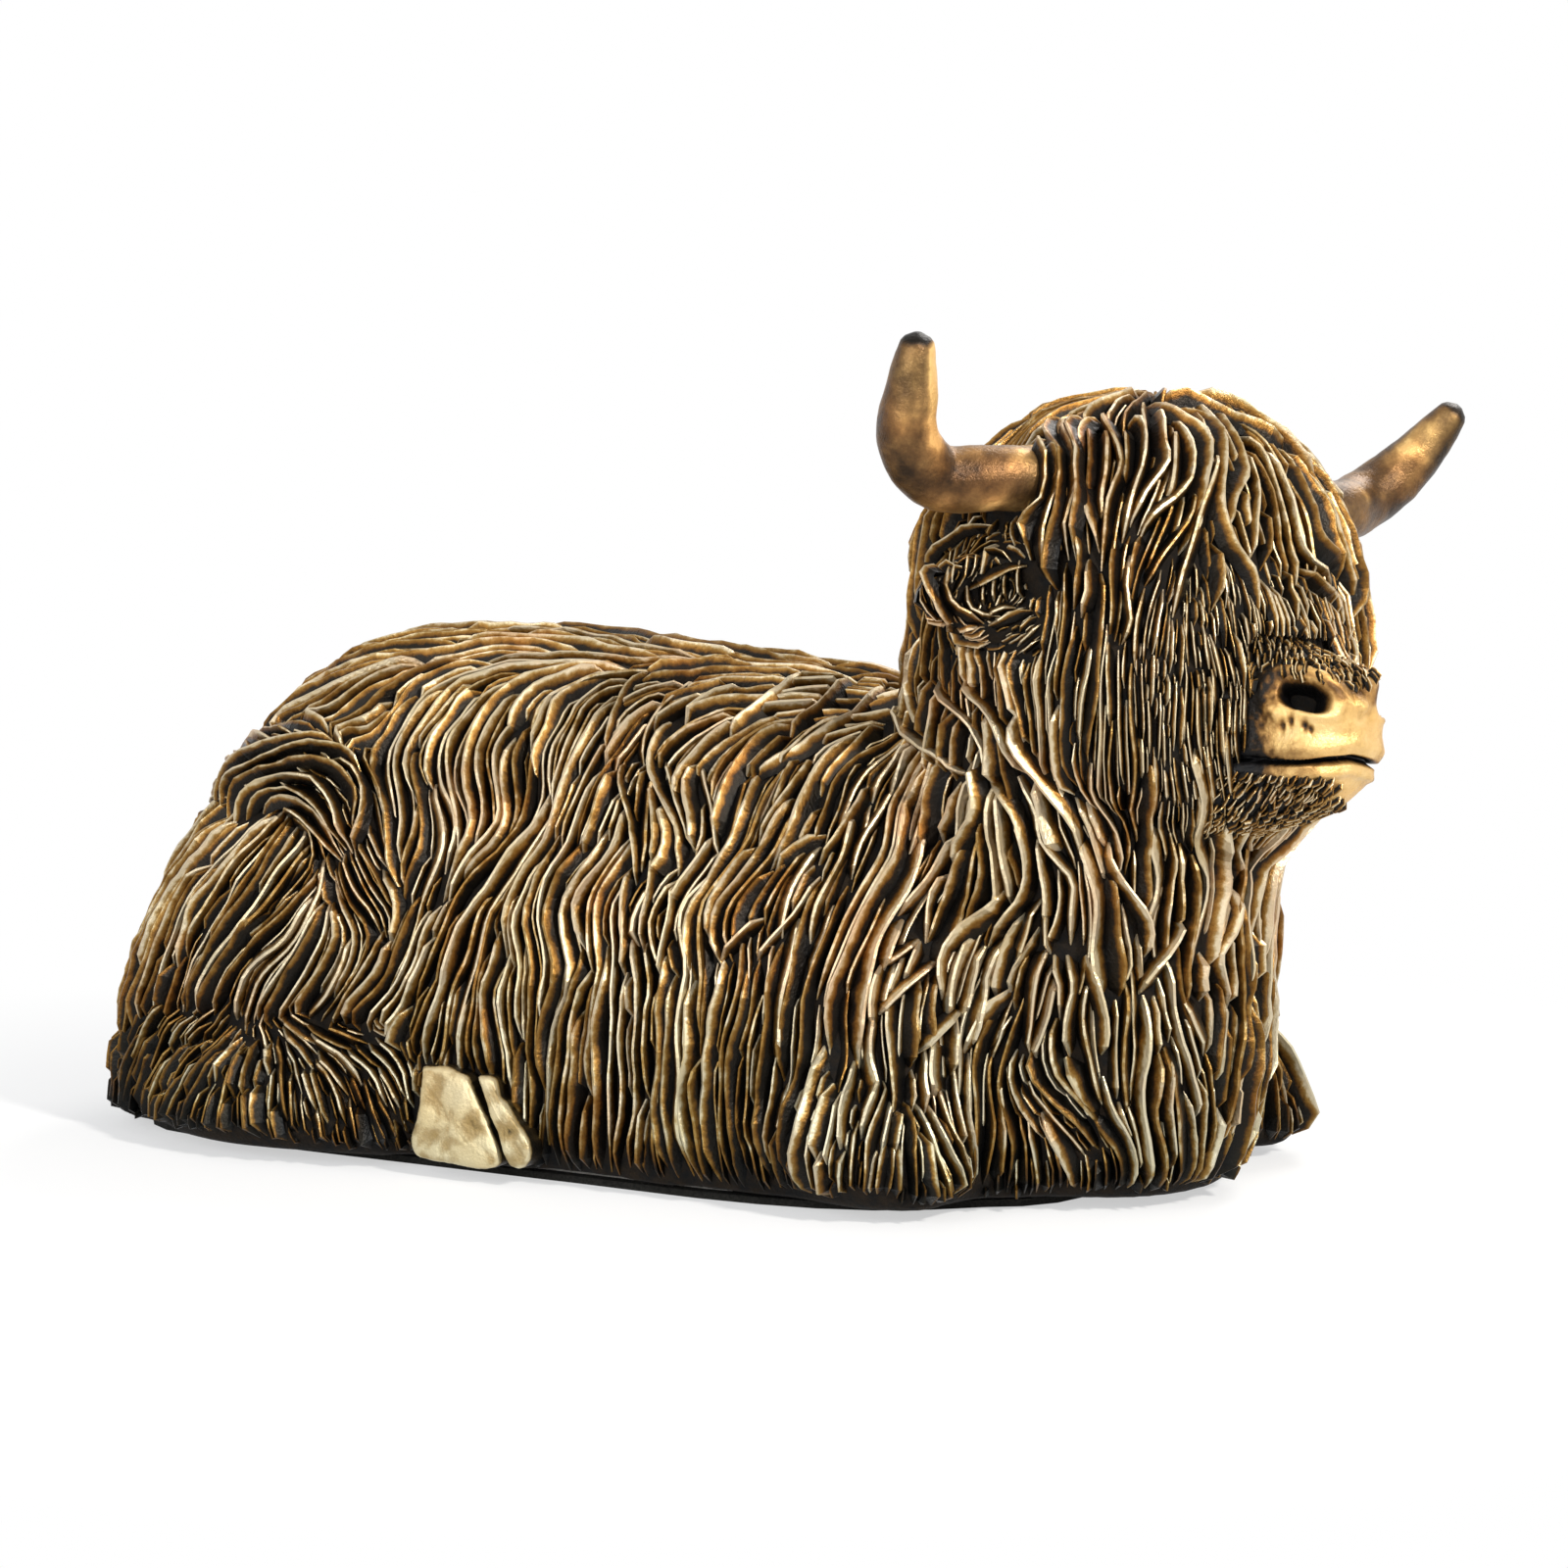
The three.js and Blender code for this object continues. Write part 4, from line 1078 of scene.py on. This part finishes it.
# The mouth, dark and a little open at the front, between two full lips. Flecks of gold are left in it.
flecks = np.array([noise.noise(Vector(q) * 1.1) for q in points])
round_it = FRONT_SIDE[0] * x + FRONT_SIDE[1] * (MUZZLE_SWING - np.abs(y))
front = ease(18.5, 22.5, round_it)
mouth = MOUTH + MOUTH_RISE * ease(15.0, 29.0, round_it)
gape = 0.4 + 0.2 * front
slot = np.exp(-((z - mouth) / gape) ** 4) * ease(15.0, 22.0, x)
height += -MOUTH_DEPTH * slot + 0.6 * np.exp(-((z - mouth - 2.2) / 1.4) ** 2)
height += 0.7 * np.exp(-((z - mouth + 1.9) / 0.8) ** 2)
gold_level -= slot * (0.95 - 0.5 * ease(0.2, 0.5, flecks) * front)
# The hollow between the nostrils; the muzzle darker along the mouth's sides, on the chin and towards the cheeks;
# and painted shade under the brow.
bridge = np.exp(-(y / 4.0) ** 2) * ease(-17.5, -14.0, z) * ease(30.0, 34.0, x)
height -= 0.5 * bridge
gold_level -= 0.42 * bridge + 0.25 * np.exp(-((z - mouth) / 2.6) ** 2) * (1.0 - front)
chin = ease(-28.2, -29.6, z) * ease(1.5, -2.0, y + 1.5 * flecks)
# The last term darkens the top of the muzzle under the brow: painted shade.
gold_level -= 0.3 * chin + 0.7 * ease(35.5, 29.0, x + 2.0 * flecks) + 0.4 * ease(-11.8, -9.8, z + 1.5 * flecks)
height += 0.22 * lumps(points, size=5.0, octaves=3)
set_points(mesh, from_head(points + outward * height[:, None]))
nose_gold = bronze(
    "rubbed_nose",
    [(0.0, (0.004, 0.004, 0.005)), (0.25, (0.012, 0.009, 0.007)), (0.45, (0.12, 0.06, 0.018)),
     (0.62, (0.33, 0.19, 0.066)), (0.8, (0.6, 0.4, 0.165)), (1.0, (0.71, 0.51, 0.26))],
    [(0.35, (1.0, 0.9, 0.72)), (0.6, (1.0, 1.0, 0.95))],
    metallic=0.45, roughness=0.36,
)
keep_gold_level(mesh, gold_level, tone=0.5, finish=nose_gold)
muzzle = make_object("muzzle", mesh)
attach(muzzle, "root")
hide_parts("head_casting")


# The bristles round the muzzle: short strands of the same resin, rolled thin and stained dark.
# They close in on the bare nose from the brow and the cheeks, and cover the chin.
BRISTLE_GAP, BRISTLE_PACE, BRISTLE_POINTS = 0.8, 0.8, 5  # between roots, between a bristle's points, and how many
BRISTLE_FALL = {  # which way they lie at each place, in the head's frame
    "chin": (-0.45, -0.35, -1.0),
    "brow": (0.35, 0.0, -1.0),
    "cheek": (0.0, 0.0, -1.0),
}


def bristle_place(h):
    """The place round the muzzle that a point of the head's frame belongs to, or None if bare."""
    on_lips = h[0] > 21.0 and abs(h[2] - MOUTH) < 1.7
    if h[0] < 20.0 or on_lips:
        return None
    aside = h[1] - float(swing(h[0]))
    ragged = 1.4 * noise.noise(Vector(h) / 1.7)
    if h[2] < -28.3 + 0.5 * ragged and (aside < -1.0 + 2.0 * ragged or h[2] < -32.0 + ragged):
        return "chin"
    if h[2] > -11.6 - 2.2 * bell(aside, 3.0) + ragged:
        return "brow"
    return "cheek" if h[0] < 28.5 + 1.6 * ragged else None


muzzle_points = points_of(mesh)
muzzle_tree = BVHTree.FromPolygons(muzzle_points.tolist(), [tuple(face.vertices) for face in mesh.polygons])
taken = Spacing(cell=1.5)
bristles = []
for p in muzzle_points[rng.permutation(len(muzzle_points))] / MM:
    spot = bristle_place(head_point(p))
    if spot is None or taken.crowded(p, BRISTLE_GAP):
        continue
    fall = np.array(HEAD_PLACE.to_3x3()) @ (BRISTLE_FALL[spot] + 0.14 * rng.standard_normal(3))
    line = []
    for _ in range(BRISTLE_POINTS):
        place, n, _, _ = muzzle_tree.find_nearest(Vector(p * MM))
        line.append((np.array(place) / MM, np.array(n)))
        p = line[-1][0] + BRISTLE_PACE * fall / np.linalg.norm(fall)
    for q, _ in line[:3]:
        taken.add(q)
    bristles.append({
        "tuft": "face", "path": line, "width": 0.75 + 0.35 * rng.random(), "tone": 0.75 * rng.random(),
        "lift": 0.25, "pace": BRISTLE_PACE, "phase": FULL_TURN * rng.random(),
    })
beard = grow("muzzle_bristles", bristles, rubbed_bronze, height=1.0, roll=0.5, seed=7)
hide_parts("head_casting")


# The horns: two tapered castings of the same resin, smooth, brushed with a mottled brown patina, with a painted
# highlight of gold on the side towards the brow, and left dark at the blunt tips. Each is pinned into the head.
HORN_RADIUS = 5.3
HORN_TAPER = (1.02, 1.0, 0.99, 0.98, 0.9, 0.72, 0.46)
HORN_ROWS, HORN_COLS = 60, 32
TIP_START, TIP_LENGTH = 0.955, 0.047  # where the tip rounds off, as shares of the horn's length
HORN_TONE_AND_HIGHLIGHT = {  # the patina's own tone, the painted gold highlight towards the brow and the dark at the tip
    "right_horn": (0.6, 0.55, 0.8),
    "left_horn": (0.5, 0.26, 0.35),
}
HORN_LINES = {  # its side, and its line forward, out and up in the head's frame, in millimetres
    "right_horn": (-1.0, ((0.0, 24.0, 14.5), (-2.1, 36.3, 14.5), (-6.0, 46.0, 13.9), (-4.7, 53.3, 19.1),
                          (-2.0, 55.5, 27.1), (0.2, 56.8, 35.5))),
    "left_horn": (1.0, ((0.0, 24.0, 14.5), (-2.1, 36.3, 14.9), (-5.1, 44.8, 17.0), (-4.3, 51.0, 21.6),
                        (-0.9, 55.0, 27.7), (3.4, 58.0, 34.9))),
}
patina = bronze(
    "horn_patina",
    [(0.0, (0.008, 0.006, 0.004)), (0.3, (0.03, 0.018, 0.009)), (0.5, (0.1, 0.056, 0.022)),
     (0.7, (0.22, 0.13, 0.05)), (0.88, (0.44, 0.27, 0.1)), (1.0, (0.74, 0.5, 0.2))],
    [(0.35, (1.0, 0.82, 0.7)), (0.55, (1.0, 0.97, 0.9)), (0.7, (0.86, 0.86, 0.72))],
    metallic=0.5, roughness=0.34,
)
for name, (hand, line) in HORN_LINES.items():
    path = through([(x, hand * y, z) for x, y, z in line], HORN_ROWS)
    radius = HORN_RADIUS * through(np.array(HORN_TAPER)[:, None], HORN_ROWS)[:, 0]
    end = np.linspace(0.0, 1.0, HORN_ROWS)
    radius *= np.sqrt(np.clip(1.0 - np.clip((end - TIP_START) / TIP_LENGTH, 0.0, 1.0) ** 2, 0.02, 1.0))
    forward = np.gradient(path, axis=0)
    forward /= np.linalg.norm(forward, axis=1, keepdims=True)
    sideways = np.cross(forward, (1.0, 0.0, 0.0))
    sideways /= np.linalg.norm(sideways, axis=1, keepdims=True)
    upward = np.cross(sideways, forward)
    around = np.linspace(0.0, 2.0 * math.pi, HORN_COLS, endpoint=False)[None, :, None]
    rings = np.cos(around) * sideways[:, None, :] + np.sin(around) * upward[:, None, :]
    rings = path[:, None, :] + radius[:, None, None] * rings
    mesh = ring_mesh(name + "_cast", rings)
    points, outward = points_of(mesh), normals_of(mesh)
    dints = lumps(points, size=6.0, octaves=3)
    share = np.append(np.repeat(end, HORN_COLS), (0.0, 1.0))
    inner = outward @ (FRONT_SIDE[0], -FRONT_SIDE[1] * hand, 0.0)  # the side towards the brow
    # A painted gold highlight from half way up on the side towards the brow, a little painted light on the upper
    # side, paler underneath at the root, and dark at the tip.
    plain, gold, dark = HORN_TONE_AND_HIGHLIGHT[name]
    gold_level = plain + 0.1 * outward[:, 2] + gold * ease(0.42, 0.85, inner) * ease(0.5, 0.64, share) + 0.3 * dints
    gold_level += 0.16 * ease(0.5, 0.35, share) * ease(0.0, -0.8, outward[:, 2]) - dark * ease(0.955, 0.985, share)
    set_points(mesh, from_head(points + outward * (0.28 * dints)[:, None]))
    keep_gold_level(mesh, gold_level, tone=0.5, finish=patina)
    horn = make_object(name + "_cast", mesh)
    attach(horn, "root")
    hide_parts(name)


# The hind hooves: cloven, cast with the body, filed flat and rubbed to the palest gold, at the hem.
# Each half is drawn where it is seen, across and down the camera's frame, on the flat it was filed to.
HOOF_FLAT = -53.2  # across from the middle, in millimetres
HOOF_LEAN = 0.12  # the flat leans in towards its top
HOOF_DEPTH, HOOF_RIM, HOOF_FLOOR = 9.0, 1.6, 0.8  # how far in it goes, where its rim starts and how low it comes
HOOF_STEPS = 96  # round the outline
HOOF_RINGS = (  # from the rim to the middle of the flat: the share of the outline, and how deep
    (0.995, 0.7), (0.97, 0.25), (0.92, 0.05), (0.8, 0.0), (0.6, 0.0), (0.4, 0.0), (0.2, 0.0))
HOOF_HALVES = (
    ((430, 1089), (452, 1090), (474, 1100), (485, 1125), (496, 1148), (506, 1178), (504, 1191), (488, 1193),
     (455, 1188), (425, 1181), (418, 1160), (425, 1139), (428, 1112)),
    ((487, 1098), (500, 1101), (510, 1124), (528, 1150), (539, 1172), (534, 1190), (519, 1191), (511, 1168),
     (499, 1136)),
)
hoof_gold = bronze(
    "rubbed_hoof",
    [(0.0, (0.01, 0.008, 0.006)), (0.4, (0.05, 0.03, 0.012)), (0.6, (0.34, 0.22, 0.09)),
     (0.8, (0.41, 0.285, 0.145)), (1.0, (0.65, 0.51, 0.32))],
    [(0.35, (1.0, 0.92, 0.74)), (0.6, (1.0, 1.0, 0.95))],
    metallic=0.45, roughness=0.3,
)


def on_flat(across, down):
    """Where a point of the camera's frame falls on the hoof's flat, in millimetres."""
    ray = sight(across, down)
    square = Vector((0.0, -1.0, HOOF_LEAN))
    far = (Vector((0.0, HOOF_FLAT, 0.0)) * MM - EYE).dot(square) / ray.dot(square)
    return np.array(EYE + far * ray) / MM


for hand, label in ((1.0, "right"), (-1.0, "left")):
    for half, line in enumerate(HOOF_HALVES):
        edge = through([on_flat(*spot) for spot in line + line[:1]], HOOF_STEPS + 1)[:-1]
        edge[:, 2] = np.maximum(edge[:, 2], HOOF_FLOOR)
        middle = edge.mean(axis=0)
        inwards = np.array((0.0, 1.0, 0.0))
        rings = [edge + HOOF_DEPTH * inwards, edge + HOOF_RIM * inwards]
        for share, sunk in HOOF_RINGS:
            rings.append(middle + share * (edge - middle) + sunk * inwards)
        solid = np.stack(rings)
        solid[:, :, 1] *= hand
        mesh = ring_mesh(f"{label}_hoof_{half + 1}", solid)
        points, outward = points_of(mesh), normals_of(mesh)
        chips = lumps(points, size=4.0, octaves=4)
        ring = np.append(np.repeat(np.arange(len(rings)), len(edge)), (0, len(rings) - 1))
        set_points(mesh, (points + outward * (0.3 * chips)[:, None]) * MM)
        gold_level = np.where(ring < 2, 0.25, np.where(ring < 4, 1.15, 1.0))
        gold_level = gold_level + 0.5 * chips + 0.4 * ease(11.0, 2.0, points[:, 2])
        keep_gold_level(mesh, gold_level, tone=0.6, finish=hoof_gold)
        hoof = make_object(f"{label}_hoof_{half + 1}", mesh)
        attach(hoof, "root")
        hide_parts("body_casting")


# The stage: a plain white floor of paper that keeps the shadow, and a white surround.
# Both are white to the camera and in reflections, and light the object softly.
FLOOR_HALF = 6.0
SHADOW_NEAR, SHADOW_FAR = 0.11, 0.24  # the floor's shade shows within these of the middle, and fades out


def seen_rays(tree):
    """1 for rays from the camera and for those that show in gloss and glass, and 0 for the rest."""
    rays = add_node(tree, "ShaderNodeLightPath").outputs
    seen = reckon(tree, "MAXIMUM", rays["Is Camera Ray"], rays["Is Glossy Ray"])
    return reckon(tree, "MAXIMUM", seen, rays["Is Transmission Ray"])


world = bpy.data.worlds.new("studio")
bpy.context.scene.world = world
world.use_nodes = True
tree = world.node_tree
soft = tree.nodes["Background"]
soft.inputs["Color"].default_value = (0.95, 0.97, 1.0, 1.0)
soft.inputs["Strength"].default_value = 0.45
white = add_node(tree, "ShaderNodeBackground", {"Color": (1.0, 1.0, 1.0, 1.0), "Strength": 1.0})
surround = add_node(tree, "ShaderNodeMixShader", {0: seen_rays(tree), 1: soft.outputs[0], 2: white.outputs[0]})
tree.links.new(surround.outputs[0], tree.nodes["World Output"].inputs["Surface"])

floor_mesh = bpy.data.meshes.new("floor")
corners = [(x * FLOOR_HALF, y * FLOOR_HALF, 0.0) for x, y in ((-1, -1), (1, -1), (1, 1), (-1, 1))]
floor_mesh.from_pydata(corners, [], [(0, 1, 2, 3)])
floor = make_object("floor", floor_mesh)
paper, tree, shader = new_finish("white_paper", roughness=0.9)
shader.inputs["Base Color"].default_value = (0.95, 0.95, 0.95, 1.0)
place = add_node(tree, "ShaderNodeTexCoord").outputs["Object"]
away = add_node(tree, "ShaderNodeVectorMath", {0: place}, operation="LENGTH").outputs["Value"]
fade = spread_out(tree, away, SHADOW_NEAR, SHADOW_FAR, first=0.55, interpolation_type="SMOOTHSTEP")
white = add_node(tree, "ShaderNodeEmission", {"Color": (1.0, 1.0, 1.0, 1.0), "Strength": 1.0})
share = reckon(tree, "MULTIPLY", seen_rays(tree), fade)
sheet = add_node(tree, "ShaderNodeMixShader", {0: share, 1: shader.outputs[0], 2: white.outputs[0]})
tree.links.new(sheet.outputs[0], tree.nodes["Material Output"].inputs["Surface"])
floor_mesh.materials.append(paper)


# The lamps: a small warm key from the right front, a broad fill from the right and one from behind.
# The camera is at the place that the drawn locks were dropped from.
LAMPS = (  # name, place, height it is aimed at, size, watts and colour
    ("key", (0.85, -0.3, 0.6), 0.06, 0.12, 10.5, (1.0, 0.97, 0.92)),
    ("fill", (-0.05, -1.0, 0.45), 0.06, 0.8, 6.0, (0.94, 0.97, 1.0)),
    ("back", (0.1, 0.8, 0.8), 0.08, 0.5, 5.0, (1.0, 0.98, 0.95)),
)
for name, place, aim, size, watts, colour in LAMPS:
    light = bpy.data.lights.new(name, "AREA")
    light.shape = "DISK"
    light.size = size
    light.energy = watts
    light.color = colour
    lamp = make_object(name, light)
    lamp.location = place
    lamp.rotation_euler = (Vector((0.0, 0.0, aim)) - Vector(place)).to_track_quat("-Z", "Y").to_euler()

lens = bpy.data.cameras.new("camera")
lens.lens = LENS
lens.sensor_width = SENSOR
lens.clip_start = 0.01
camera = make_object("camera", lens)
camera.location = EYE
camera.rotation_euler = BACK.to_track_quat("Z", "Y").to_euler()
bpy.context.scene.camera = camera
bpy.context.scene.view_settings.view_transform = "Standard"
